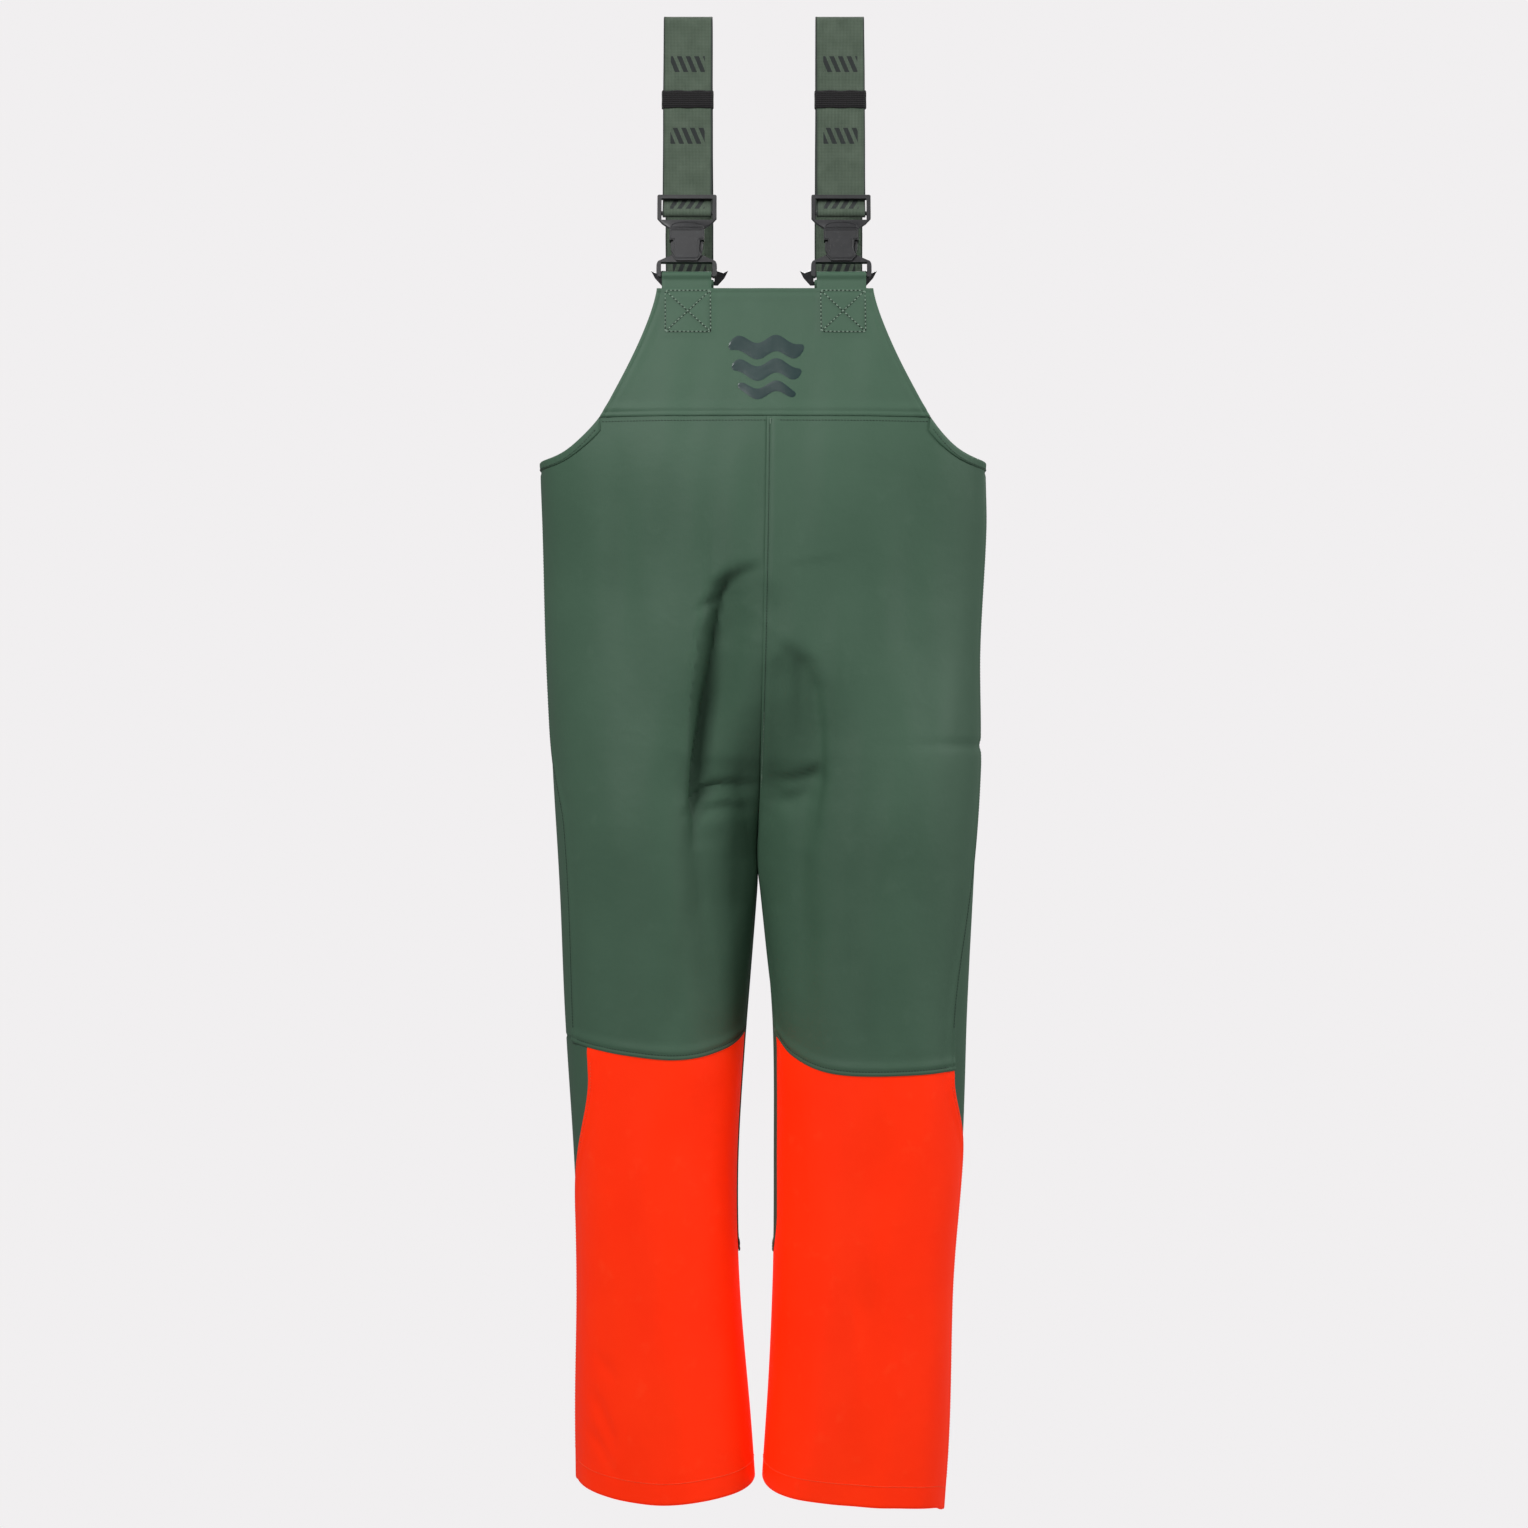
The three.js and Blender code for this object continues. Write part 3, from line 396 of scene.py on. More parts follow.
def two_layers(outer, inner, uv, ring=False):
    """A closed thin sheet between two grids of points, or a ring of it."""
    rows, columns = outer.shape[:2]
    index = np.arange(2 * rows * columns).reshape(2, rows, columns)
    if ring:
        index = np.concatenate([index, index[:, :, :1]], 2)
    quads = []

    def add(*corners):
        quads.append(np.stack([corner.ravel() for corner in corners], 1))

    for layer, flip in ((0, False), (1, True)):
        g = index[layer]
        corners = [g[:-1, :-1], g[:-1, 1:], g[1:, 1:], g[1:, :-1]]
        add(*(corners[::-1] if flip else corners))
    o, i = index
    add(i[0, :-1], i[0, 1:], o[0, 1:], o[0, :-1])
    add(o[-1, :-1], o[-1, 1:], i[-1, 1:], i[-1, :-1])
    if not ring:
        add(o[:-1, 0], o[1:, 0], i[1:, 0], i[:-1, 0])
        add(i[:-1, -1], i[1:, -1], o[1:, -1], o[:-1, -1])
    points = np.concatenate([outer.reshape(-1, 3), inner.reshape(-1, 3)])
    return points, np.concatenate(quads).tolist(), np.concatenate([uv.reshape(-1, 2)] * 2)


def swept(rings, closed=False, uv=None):
    """A tube through rings of points, with flat ends unless it is closed."""
    count, around = rings.shape[:2]
    index = np.arange(count * around).reshape(count, around)
    if closed:
        index = np.concatenate([index, index[:1]])
    turned = np.roll(index, -1, 1)
    quads = np.stack([index[:-1], turned[:-1], turned[1:], index[1:]], -1).reshape(-1, 4).tolist()
    if not closed:
        quads += [index[0][::-1].tolist(), index[-1].tolist()]
    return rings.reshape(-1, 3), quads, uv


FINE = np.array([0, 0.8, 1.8, 3, 4.2, 5.4, 7, 9.5, 12.5])


def stations(length, step):
    """Shares from 0 to 1 along a length, closer together near both ends where the seams are."""
    middle = np.linspace(FINE[-1], length - FINE[-1], max(2, round((length - 2 * FINE[-1]) / step) + 1))
    return np.concatenate([FINE[:-1], middle, (length - FINE[:-1])[::-1]]) / length


def lip(distance, height):
    """A seam edge that stands proud, with the groove that its stitching pulls in."""
    turned = height * smooth((15 - distance) / 7) - 0.5 * hump(distance, 0.8)
    return turned - 0.6 * hump(distance - SEAM_STITCH, 1.2) * (height > 0)


def two_sides(points, out, lifts):
    """The outer and the inner side of cloth that stands off its points by lifts."""
    return [points + out * (lifts - depth)[..., None] for depth in (0, CLOTH_T)]


def make_sheet(name, sides, across, z, width, material, node):
    """A cut panel. Its flat width, length and area are worked out but not used."""
    piece = make_piece(name, two_layers(*sides, np.stack([across, z + 0 * across], -1)), material)
    fit(piece, "garment", node)
    width, length = float(width), float(z.max() - z.min())
    area = sum(p.area for p in piece.data.polygons) / 2
    area = min(area, width * length / 1e6)


def cloth_panel(hand, side, part, face, low, high, start, end, size, lips, material, step=4.2):
    """One body or leg panel, from its side (0) to its middle (1).

    low and high give its lower and upper edge, start and end its seams, and lips how far its edges stand up.
    """
    p = stations(size[0], step)[None, :]
    q = stations(size[1], step)[:, None]
    z = lerp(low(p), high(p), q)
    s = face * lerp(start(z), end(z), p)
    points, out = skin(side, s, z)
    run = np.cumsum(np.linalg.norm(np.diff(points, axis=1, prepend=points[:, :1]), axis=2), axis=1)
    lifts = lip(run, lips.get("side", 0)) + lip(run[:, -1:] - run, lips.get("middle", 0))
    lifts *= smooth((high(p) - z - UNDERLAP) / 5)
    lifts += lip(z - low(p), lips.get("low", 0)) + lip(high(p) - z, lips.get("high", 0))
    sides = two_sides(points, out, lifts)
    near_middle = (np.abs(s) > 0.5) & (z > FORK - 20)
    for layer in sides:
        across = (layer[..., 0] - middle_shift(z)) * side
        stopped = middle_shift(z) + side * np.maximum(across, 0)
        layer[..., 0] = np.where(near_middle, stopped, layer[..., 0])
    name, node = f"{hand}_{part}_cloth", f"{hand}_{part}_panel"
    make_sheet(name, sides, run, z, run[:, -1].max(), material, node)


def chest_panel(name, face, low, high, half, offset, lips, node, boxes=False):
    """A chest piece across the middle, whose half width at a height is half(z)."""
    p = stations(300, 4.2)[None, :] * 2 - 1
    q = stations(high - low, 4.2)[:, None]
    z = lerp(low, high, q) + 0 * p
    x = half(z) * p
    side = np.where(x < 0, -1, 1)
    points, out = skin(side, face * share_at(x, z), z, offset)
    lifts = lip(z - low, lips.get("low", 0)) + lip(high - z, lips.get("high", 0))
    lifts += lip(half(z) - np.abs(x), lips.get("side", 0))
    if boxes:
        # the cloth stands up over a tab that is sewn behind it
        beside, tab_half, tab_foot = np.abs(np.abs(x) - BRACE_X), 26.5, high - 49
        lifts += 0.7 * smooth((tab_half - beside) / 3) * smooth((z - tab_foot) / 3)
    width = 2 * np.abs(x[:, -1]).max()
    make_sheet(name, two_sides(points, out, lifts), x, z, width, GREEN, node)


# ---- finishes
class Value:
    """A shader value that varies over a surface. Arithmetic on it adds Math nodes."""

    def __init__(self, finish, socket):
        self.finish = finish
        self.socket = socket

    def math(self, operation, *terms):
        return self.finish.node("ShaderNodeMath", {"operation": operation}, dict(enumerate(terms)))

    def __add__(self, other):
        return self.math("ADD", self, other)

    __radd__ = __add__

    def __sub__(self, other):
        return self.math("SUBTRACT", self, other)

    def __rsub__(self, other):
        return self.math("SUBTRACT", other, self)

    def __mul__(self, other):
        return self.math("MULTIPLY", self, other)

    __rmul__ = __mul__

    def __truediv__(self, other):
        return self.math("DIVIDE", self, other)

    def __pow__(self, other):
        return self.math("POWER", self, other)

    def __abs__(self):
        return self.math("ABSOLUTE", self)

    def __lt__(self, other):
        return self.math("LESS_THAN", self, other)

    def __gt__(self, other):
        return self.math("GREATER_THAN", self, other)

    def fraction(self):
        return self.math("FRACT", self)

    def sine(self):
        return self.math("SINE", self)

    def waves(self, pitch):
        return (self * (2 * math.pi / pitch)).sine()

    def kept(self):
        return self.math("MINIMUM", self.math("MAXIMUM", self, 0.0), 1.0)


class Finish:
    """One material and its nodes."""

    def __init__(self, name):
        self.material = bpy.data.materials.new(name)
        self.material.use_nodes = True
        self.tree = self.material.node_tree
        self.surface = next(n for n in self.tree.nodes if n.type == "BSDF_PRINCIPLED")

    def node(self, kind, settings, inputs, output=0):
        made = self.tree.nodes.new(kind)
        for name, setting in settings.items():
            setattr(made, name, setting)
        for key, value in inputs.items():
            self.put(made.inputs[key], value)
        return Value(self, made.outputs[output])

    def put(self, socket, value):
        if isinstance(value, Value):
            self.tree.links.new(value.socket, socket)
        else:
            socket.default_value = value

    def set(self, **inputs):
        for name, value in inputs.items():
            self.put(self.surface.inputs[name.replace("_", " ")], value)

    def place(self):
        return self.node("ShaderNodeTexCoord", {}, {}, "Object")

    def cloth_axes(self):
        """How far across and along its own cloth a point is, in metres."""
        uv = self.node("ShaderNodeUVMap", {"uv_map": "cloth"}, {})
        split = self.node("ShaderNodeSeparateXYZ", {}, {0: uv})
        return split, Value(self, split.socket.node.outputs[1])

    def noise(self, scale, detail, roughness):
        inputs = {"Vector": self.place(), "Scale": scale, "Detail": detail, "Roughness": roughness}
        return self.node("ShaderNodeTexNoise", {}, inputs, "Fac")

    def mixed(self, share, a, b):
        inputs = {0: share, 6: a if isinstance(a, Value) else (*a, 1), 7: (*b, 1)}
        return self.node("ShaderNodeMix", {"data_type": "RGBA"}, inputs, 2)

    def bumped(self, height, strength, distance, normal=None):
        inputs = {"Height": height, "Strength": strength, "Distance": distance}
        if normal is not None:
            inputs["Normal"] = normal
        return self.node("ShaderNodeBump", {}, inputs)


def coated_cloth(name, colour, deep, worn, roughness, painted_glow=0.0):
    """Woven cloth under a smooth waterproof coating, whose fine grain just shows through, and which can be
    given a painted glow of its own colour.
    """
    finish = Finish(name)
    across, along = finish.cloth_axes()
    weave = across.waves(0.0009) * along.waves(0.0009)
    grain = finish.noise(900, 3, 0.6)
    mottle = finish.noise(9, 4, 0.55)
    handled = finish.noise(46, 3, 0.6)
    rubbed = ((handled - 0.6) * 5).kept()
    body = finish.mixed((mottle - 0.25) * 1.6, deep, colour)
    finish.set(
        Base_Color=finish.mixed(rubbed * 0.22, body, worn),
        Roughness=roughness + (mottle - 0.5) * 0.14 + rubbed * 0.05 + grain * 0.05,
        Specular_IOR_Level=0.12 if painted_glow else 0.3,
        # painted glow: the cloth gives off light of its own colour, at the given strength
        Emission_Color=(*colour, 1),
        Emission_Strength=painted_glow,
    )
    fine = finish.bumped(weave * 0.5 + grain, 0.16, 0.0004)
    finish.set(Normal=finish.bumped(handled + mottle, 0.22, 0.0022, fine))
    return finish.material


MARK_START, MARK_PITCH = 0.087, 0.078  # metres along the webbing


def woven_webbing(name, colour, deep, mark):
    """Elastic webbing with ribs along it, dark selvedges and a dark woven hatch every 78 mm."""
    finish = Finish(name)
    across, along = finish.cloth_axes()
    rib, pick_row = across.waves(0.00145), along.waves(0.0011)
    mottle = finish.noise(60, 4, 0.6)
    fuzz = finish.noise(1600, 2, 0.7)
    stretch = (along * (2 * math.pi / 0.0034) + mottle * 5).sine()
    shade = 0.42 + rib * 0.24 + pick_row * 0.1 + (mottle - 0.5) * 0.9 + (fuzz - 0.5) * 0.5 + stretch * 0.05
    body = finish.mixed(shade.kept(), deep, colour)
    beside = abs(across - WEBBING_W / 2000)
    step = abs(((along - MARK_START) / MARK_PITCH + 0.5).fraction() - 0.5)
    hatch = ((across + along * 0.4) / 0.0088).fraction() < 0.56
    marked = (beside < 0.0175) * (step < 0.112) * hatch
    bound = ((beside - 0.0231) * 1100).kept()
    finish.set(
        Base_Color=finish.mixed((marked * 0.9 + bound * 0.75).kept(), body, mark),
        Roughness=0.82 + (fuzz - 0.5) * 0.2,
        Specular_IOR_Level=0.25,
        Sheen_Weight=0.15,
        Normal=finish.bumped(rib * 0.8 + pick_row * 0.35 + fuzz * 0.6 + marked * 0.7, 0.55, 0.00045),
    )
    return finish.material


def black_elastic():
    finish = Finish("black_elastic")
    across, along = finish.cloth_axes()
    rib, cross = along.waves(0.0021), across.waves(0.0016)
    fuzz = finish.noise(1500, 3, 0.7)
    shade = (0.4 + rib * 0.3 + cross * 0.15 + (fuzz - 0.5)).kept()
    finish.set(
        Base_Color=finish.mixed(shade, (0.004, 0.0035, 0.004), (0.016, 0.0145, 0.016)),
        Roughness=0.9 - fuzz * 0.15,
        Specular_IOR_Level=0.2,
        Sheen_Weight=0.2,
        Normal=finish.bumped(rib + cross * 0.5 + fuzz, 0.6, 0.0004),
    )
    return finish.material


def moulded_plastic():
    """Charcoal buckle plastic with a fine spark-eroded grain, paler where hands rub it."""
    finish = Finish("moulded_plastic")
    grain = finish.noise(2600, 3, 0.6)
    cloudy = finish.noise(120, 3, 0.5)
    rubbed = ((finish.noise(260, 3, 0.7) - 0.56) * 6).kept()
    body = finish.mixed(cloudy, (0.015, 0.015, 0.0165), (0.027, 0.027, 0.0295))
    finish.set(
        Base_Color=finish.mixed(rubbed * 0.25, body, (0.075, 0.075, 0.08)),
        Roughness=0.42 + (grain - 0.5) * 0.2 + rubbed * 0.08,
        Specular_IOR_Level=0.4,
        Normal=finish.bumped(grain + cloudy * 0.4, 0.18, 0.0003),
    )
    return finish.material


def sewing_thread(name, colour, deep):
    finish = Finish(name)
    inputs = {"Vector": finish.place(), "Scale": 900.0}
    twist = finish.node("ShaderNodeTexWave", {"bands_direction": "DIAGONAL"}, inputs, 1)
    shade = finish.noise(300, 2, 0.5)
    finish.set(
        Base_Color=finish.mixed(shade, deep, colour),
        Roughness=0.6 + shade * 0.2,
        Normal=finish.bumped(twist, 0.5, 0.0002),
    )
    return finish.material


def printed_ink():
    """Glossy dark print with fine cracks where the cloth has flexed."""
    finish = Finish("printed_ink")
    cloudy = finish.noise(30, 4, 0.6)
    speck = ((finish.noise(700, 3, 0.7) - 0.66) * 8).kept()
    body = finish.mixed(cloudy, (0.008, 0.024, 0.024), (0.020, 0.052, 0.050))
    finish.set(
        Base_Color=finish.mixed(speck * 0.5, body, (0.07, 0.12, 0.09)),
        Roughness=0.24 + cloudy * 0.12 + speck * 0.3,
        Specular_IOR_Level=0.6,
        Normal=finish.bumped(cloudy + speck * -0.3, 0.25, 0.0008),
    )
    return finish.material


GREEN = coated_cloth(
    "green_coated_cloth", (0.063, 0.127, 0.081), (0.053, 0.109, 0.069), (0.088, 0.155, 0.106), 0.56,
)
# the orange cloth has a painted glow, emitted light of its own colour, for the extra brightness of its
# fluorescent dye
ORANGE = coated_cloth(
    "orange_coated_cloth", (1.0, 0.034, 0.003), (0.95, 0.022, 0.002), (1.0, 0.08, 0.02), 0.5, painted_glow=0.3,
)
WEBBING = woven_webbing("green_webbing", (0.118, 0.158, 0.115), (0.046, 0.068, 0.046), (0.016, 0.018, 0.021))
ELASTIC = black_elastic()
PLASTIC = moulded_plastic()
PALE_THREAD = sewing_thread("pale_green_thread", (0.30, 0.40, 0.32), (0.18, 0.26, 0.20))
# dark green seam thread, also used for the painted shade of the needle holes in the boxed crosses
DARK_THREAD_AND_PAINTED_HOLE_SHADE = sewing_thread("dark_green_thread_and_painted_hole_shade", (0.020, 0.040, 0.028), (0.012, 0.025, 0.017))
ORANGE_THREAD = sewing_thread("orange_thread", (1.0, 0.16, 0.05), (0.75, 0.06, 0.015))
INK = printed_ink()

# ---- cloth panels
SIDES = (("left", 1), ("right", -1))


def level(z):
    return lambda p: z + 0 * p


def panel_top(face, p):
    """The upper edge of a front or back panel: inside the armhole's binding, then at the bib or yoke."""
    return np.minimum(armhole(face * p) - 1, BIB_SEAM + UNDERLAP)


def make_body(hand, side):
    seams = (body_seam, shin_seam, inner_seam)
    front_start, shin_start, front_middle = (partial(seam, side) for seam in seams)
    outer, inner, middle = (float(seam(KNEE)) for seam in (front_start, shin_start, front_middle))

    def shin_top(p):
        return knee_line[side]((lerp(inner, middle, p) - outer) / (middle - outer)) + UNDERLAP

    def back_start(z):
        return -back_seam(side, z)

    def back_middle(z):
        return 2 - inner_seam(side, z)

    cloth_panel(
        hand, side, "front", 1, knee_line[side], partial(panel_top, 1), front_start, front_middle,
        (300, 640), {"low": 1.35, "side": 1.3, "middle": 0.9 if side > 0 else 0}, GREEN,
    )
    cloth_panel(
        hand, side, "shin", 1, level(0), shin_top, shin_start, front_middle,
        (280, 450), {"side": 1.3}, ORANGE,
    )
    cloth_panel(
        hand, side, "back", -1, level(CALF), partial(panel_top, -1), back_start, back_middle,
        (330, 800), {"low": 1.35, "middle": 0.9 if side < 0 else 0}, GREEN, step=5,
    )
    cloth_panel(
        hand, side, "calf", -1, level(0), level(CALF + UNDERLAP), back_start, back_middle,
        (290, 244), {}, ORANGE, step=5,
    )


def make_hem_band(hand, side):
    """The turned-up foot of the leg, inside it."""
    s = np.linspace(-1, 1, 97)[None, :-1]
    z = np.array([0, 1, 2.5, 8, 14, 20, 24, 26])[:, None]
    turn = 1.4 * hump(z, 1.2)
    outer, _ = skin(side, s, z - 0.6, -CLOTH_T - 0.5 + turn * 0.6)
    inner, _ = skin(side, s, z - 0.6, -2 * CLOTH_T - 0.6 - 0.2 * np.sin(s * 40))
    shape = two_layers(outer, inner, np.stack(np.broadcast_arrays(s * 290, z), -1), ring=True)
    fit(make_piece(f"{hand}_hem_turning", shape, ORANGE), "garment", f"{hand}_hem_band")


def make_binding(hand, side):
    """Tape folded over the armhole's edge and sewn through, slightly puckered by its stitches."""
    s = np.concatenate([np.linspace(-yoke_corner, 0, 70)[:-1], np.linspace(0, bib_corner, 70)])
    loop = [(0.5, -8.2), (1.2, -7.4), (1.1, -5.6), (1.35, -3), (1.3, -0.9), (0.5, 0.2), (-0.7, 0.5),
            (-1.9, 0.1), (-2.6, -1), (-2.6, -4), (-2.5, -7), (-1.9, -8.2), (-0.8, -8.3)]
    top = armhole(s)
    run = run_along(skin(side, s, top)[0])
    slope = np.gradient(top, run)
    lean = 1 / np.sqrt(np.clip(1 - slope**2, 0.15, 1))
    pucker = 0.22 * np.sin(2 * np.pi * run / 7.5)
    rings = np.stack([
        skin(side, s, top + height * np.minimum(lean, 1.7), offset + pucker * (offset > 0.9))[0]
        for offset, height in loop
    ], 1)
    uv = np.stack(np.broadcast_arrays(run[:, None], np.arange(len(loop))[None, :] * 2.0), -1)
    tape = make_piece(f"{hand}_armhole_tape", swept(rings, uv=uv), GREEN, sharp=70)
    fit(tape, "garment", f"{hand}_armhole_binding")


TURNING_H = 62  # of the turned-in layer behind the bib and the yoke
TURNING_INSET = 5
TURNING_OFFSET = -6.27  # behind the tabs


def make_chest():
    chest = (
        ("bib", "bib_cloth", "bib_panel", 1, bib_half, BIB_TOP),
        ("yoke", "yoke_cloth", "back_yoke", -1, yoke_half, YOKE_TOP),
    )
    lips = {"low": 1.3, "high": 0.5, "side": 0.6}
    for _, cloth, panel, face, half, top in chest:
        chest_panel(cloth, face, BIB_SEAM, top, half, 0.0, lips, panel, boxes=True)
    for place, cloth, _, face, half, top in chest:
        chest_panel(
            f"{place}_turning", face, top - TURNING_H, top - 1, lambda z: half(z) - TURNING_INSET,
            TURNING_OFFSET, {"high": 0.2}, f"{place}_facing",
        )


# ---- stitching
def stitched(path, out, pitch, length, radius, first=0.5):
    """The rings of separate stitches along a path, each a short thread that dips in at both ends."""
    run = run_along(path)
    starts = np.arange(first, run[-1] - length, pitch)

    def along(values, at):
        return np.stack([np.interp(at, run, values[:, k]) for k in range(3)], -1)

    a, b = along(path, starts), along(path, starts + length)
    up = along(out, starts + length / 2)
    forward = (b - a) / np.linalg.norm(b - a, axis=1, keepdims=True)
    beside = np.cross(forward, up)
    rings = []
    angles = np.arange(6)[None, :, None] * np.pi / 3
    turned = np.cos(angles) * beside[:, None] + np.sin(angles) * up[:, None]
    thread = ((0, 0.45, -0.25), (0.18, 1, 0.1), (0.5, 1.1, 0.25), (0.82, 1, 0.1), (1, 0.45, -0.25))
    for share, thick, rise in thread:
        centre = lerp(a, b, share) + up * rise * radius * 2
        rings.append(centre[:, None] + radius * thick * turned)
    return np.stack(rings, 1)


def sewn_lines(name, material, lines):
    """One piece of thread that holds the stitches of lines of (path, out, stitch measures)."""
    points, faces = [], []
    for path, out, measures in lines:
        for rings in stitched(path, out, *measures):
            made, quads, _ = swept(rings)
            faces += [[i + len(points) for i in face] for face in quads]
            points += made.tolist()
    fit(make_piece(name, (points, faces, None), material, sharp=80), "garment")


def on_leg(side, face, z, p, offset):
    """A line on a body or leg panel at heights z and shares p from its side seam to its middle."""
    if face > 0:
        s = lerp(body_seam(side, z), inner_seam(side, z), p)
    else:
        s = -lerp(-back_seam(side, z), 2 - inner_seam(side, z), p)
    return skin(side, s, z, offset)


def on_chest(face, x, z, offset):
    return skin(np.where(x < 0, -1, 1), face * share_at(x, z), z, offset)


BOX_HALF, BOX_TOP, BOX_FOOT = 22.5, 2.5, 45  # the stitched square, below the edge it is sewn under


def boxed_cross(face, x, top):
    """The square with a cross that holds a tab: six lines of stitching."""
    left, right, high, low = x - BOX_HALF, x + BOX_HALF, top - BOX_TOP, top - BOX_FOOT
    corners = [(left, high), (right, high), (right, low), (left, low), (left, high), (right, low)]
    lines = [(corners[i], corners[i + 1]) for i in range(5)] + [((left, low), (right, high))]
    made = []
    for (x0, z0), (x1, z1) in lines:
        t = np.linspace(0, 1, 24)
        made.append(on_chest(face, lerp(x0, x1, t), lerp(z0, z1, t), 0.95))
    return made


def make_stitching():
    across = np.linspace(0.01, 0.99, 120)
    pale, dark, orange = [], [], []
    plain = (3.2, 2.2, 0.3)
    for _, side in SIDES:
        dark.append((*on_leg(side, 1, knee_line[side](across) + SEAM_STITCH, across, 1.05), plain))
        dark.append((*on_leg(side, -1, CALF + SEAM_STITCH, across, 1.0), plain))
        for face, corner in ((1, bib_corner), (-1, yoke_corner)):
            upper = face * np.linspace(corner + 0.004, 1, 90)
            dark.append((*skin(side, upper, BIB_SEAM - BIB_STITCH, 0.12), plain))
        round_hem = np.linspace(-0.995, 0.995, 260)
        orange.append((*skin(side, round_hem, HEM_STITCH, 0.15), plain))
        hole = np.linspace(-yoke_corner + 0.01, bib_corner - 0.01, 200)
        sewn = skin(side, hole, armhole(hole) - BINDING_STITCH, 1.25)
        dark.append((*sewn, (3.0, 2.1, 0.26)))
        side_z = np.linspace(470, 1030, 220)
        dark.append((*skin(side, body_seam(side, side_z) + 0.015, side_z, 1.15), plain))
        side_z = np.linspace(30, float(knee_line[side](0)) - 16, 160)
        orange.append((*skin(side, shin_seam(side, side_z) + 0.016, side_z, 1.15), plain))
    middle = np.linspace(640, BIB_SEAM - 8, 240)
    for face, top in ((1, BIB_TOP), (-1, YOKE_TOP)):
        sewn = skin(face, face * (1 - 0.008), middle, 1.1)
        dark.append((*sewn, (3.0, 2.1, 0.3)))
        for x in (-BRACE_X, BRACE_X):
            for line in boxed_cross(face, x, top):
                pale.append((*line, (4.2, 2.2, 0.6)))
                # short dark pieces in the gaps between the pale stitches: painted shade of the needle holes
                dark.append((*line, (4.2, 1.5, 0.6, 2.9)))
    for face in (1, -1):
        low_seam = np.linspace(714, 792, 40)
        pale.append((*skin(face, face * 0.991, low_seam, 1.1), (3.6, 1.7, 0.38)))
    sewn_lines("pale_stitching", PALE_THREAD, pale)
    # the dark seam stitching, with the painted needle-hole shade of the boxed crosses
    sewn_lines("dark_stitching_and_painted_hole_shade", DARK_THREAD_AND_PAINTED_HOLE_SHADE, dark)
    sewn_lines("hem_stitching", ORANGE_THREAD, orange)
    make_tacks()


def make_tacks():
    """Short dense tacks at the ends of the seams and where the middle seam meets the bib and the fork."""
    tight = (0.9, 0.8, 0.42)
    lines = []
    for _, side in SIDES:
        for p in (0.012, 0.985):
            z = float(knee_line[side](p)) + np.linspace(1, 7, 12)
            lines.append((*on_leg(side, 1, z, p, 1.2), tight))
    for z0 in (BIB_SEAM - 9, 722):
        lines.append((*skin(1, 0.99, np.linspace(z0, z0 + 6, 12), 1.2), tight))
    sewn_lines("bar_tacks", PALE_THREAD, lines)


# ---- print on the bib
def make_print():
    """Three plain waves, one above the other."""
    for i, (centre, width, tall) in enumerate(((1156, 76, 17), (1133, 70, 15), (1112, 58, 11))):
        u = np.linspace(-1, 1, 61)[None, :]
        v = np.linspace(-1, 1, 7)[:, None]
        x = u * width / 2 + 0 * v
        taper = np.sqrt(np.clip(1 - np.abs(u) ** 5, 0, 1)) * 0.98 + 0.02
        z = centre + 4.2 * np.sin(2 * np.pi * x / 38) + v * tall / 2 * taper
        outer, _ = on_chest(1, x, z, 0.28 - 0.1 * v**8)
        inner, _ = on_chest(1, x, z, 0.02)
        shape = two_layers(outer, inner, np.stack([x, z], -1))
        fit(make_piece(f"printed_wave_{i + 1}", shape, INK), "garment")


# ---- braces
# Heights are along the brace, above the bib's top; depths are inwards from the brace's own line.
BAR_R = 2.2
GAP = 0.3
LADDER_TOP, LADDER_WINDOW_TOP, LADDER_BAR = 99.4, 95.3, 80.32  # the plug's frame, its window and its bar
RUN_Y, TAIL_Y, WRAP_R = 3.6, 5.7, 3.3  # the front run, the free end behind it and the turn round a bar
FIXED_RUN, KEEPER_FOOT, KEEPER_H, TAIL_END = 144.4, 195, 19, 232
JOIN = KEEPER_FOOT + KEEPER_H / 2
FOLD_UP, FOLD_R = 288.8, 8.8  # where the webbing begins to turn over the rail
REAR_WEBBING_BAR = 37.3
TAB_FOOT, FRONT_TAB_H, REAR_TAB_H = -46, 18, 20
COS, SIN = math.cos(math.atan(LEAN)), math.sin(math.atan(LEAN))
BRACE_Y = 68.797
SOCKET_FACE = 5  # in front of the brace's own line
RIM_R = 0.6


def on_brace(face, y, z):
    """A brace's own (y inwards, z up along it) as garment (y, z)."""
    return face * (-BRACE_Y + y * COS + z * SIN), BIB_TOP - y * SIN + z * COS


def line_on_brace(face, points):
    points = np.asarray(points, float).reshape(-1, 2)
    return np.stack(on_brace(face, points[:, 0], points[:, 1]), 1)


def path_of(*legs):
    """One line of (y, z) points, evenly spaced, through several lines."""
    line = np.concatenate([np.asarray(leg, float).reshape(-1, 2) for leg in legs])
    steps = np.linalg.norm(np.diff(line, axis=0), axis=1)
    line = line[np.concatenate([[True], steps > 1e-6])]
    run = run_along(line)
    even = np.linspace(0, run[-1], max(3, round(run[-1] / 1.6)))
    return np.stack([np.interp(even, run, line[:, 0]), np.interp(even, run, line[:, 1])], 1)


def arc(y, z, radius, start, end, count=18):
    angle = np.radians(np.linspace(start, end, count))
    return np.stack([y + radius * np.cos(angle), z + radius * np.sin(angle)], 1)


def sway(y0, z0, y1, z1, count=10):
    t = np.linspace(0, 1, count)
    return np.stack([lerp(y0, y1, smooth(t)), lerp(z0, z1, t)], 1)


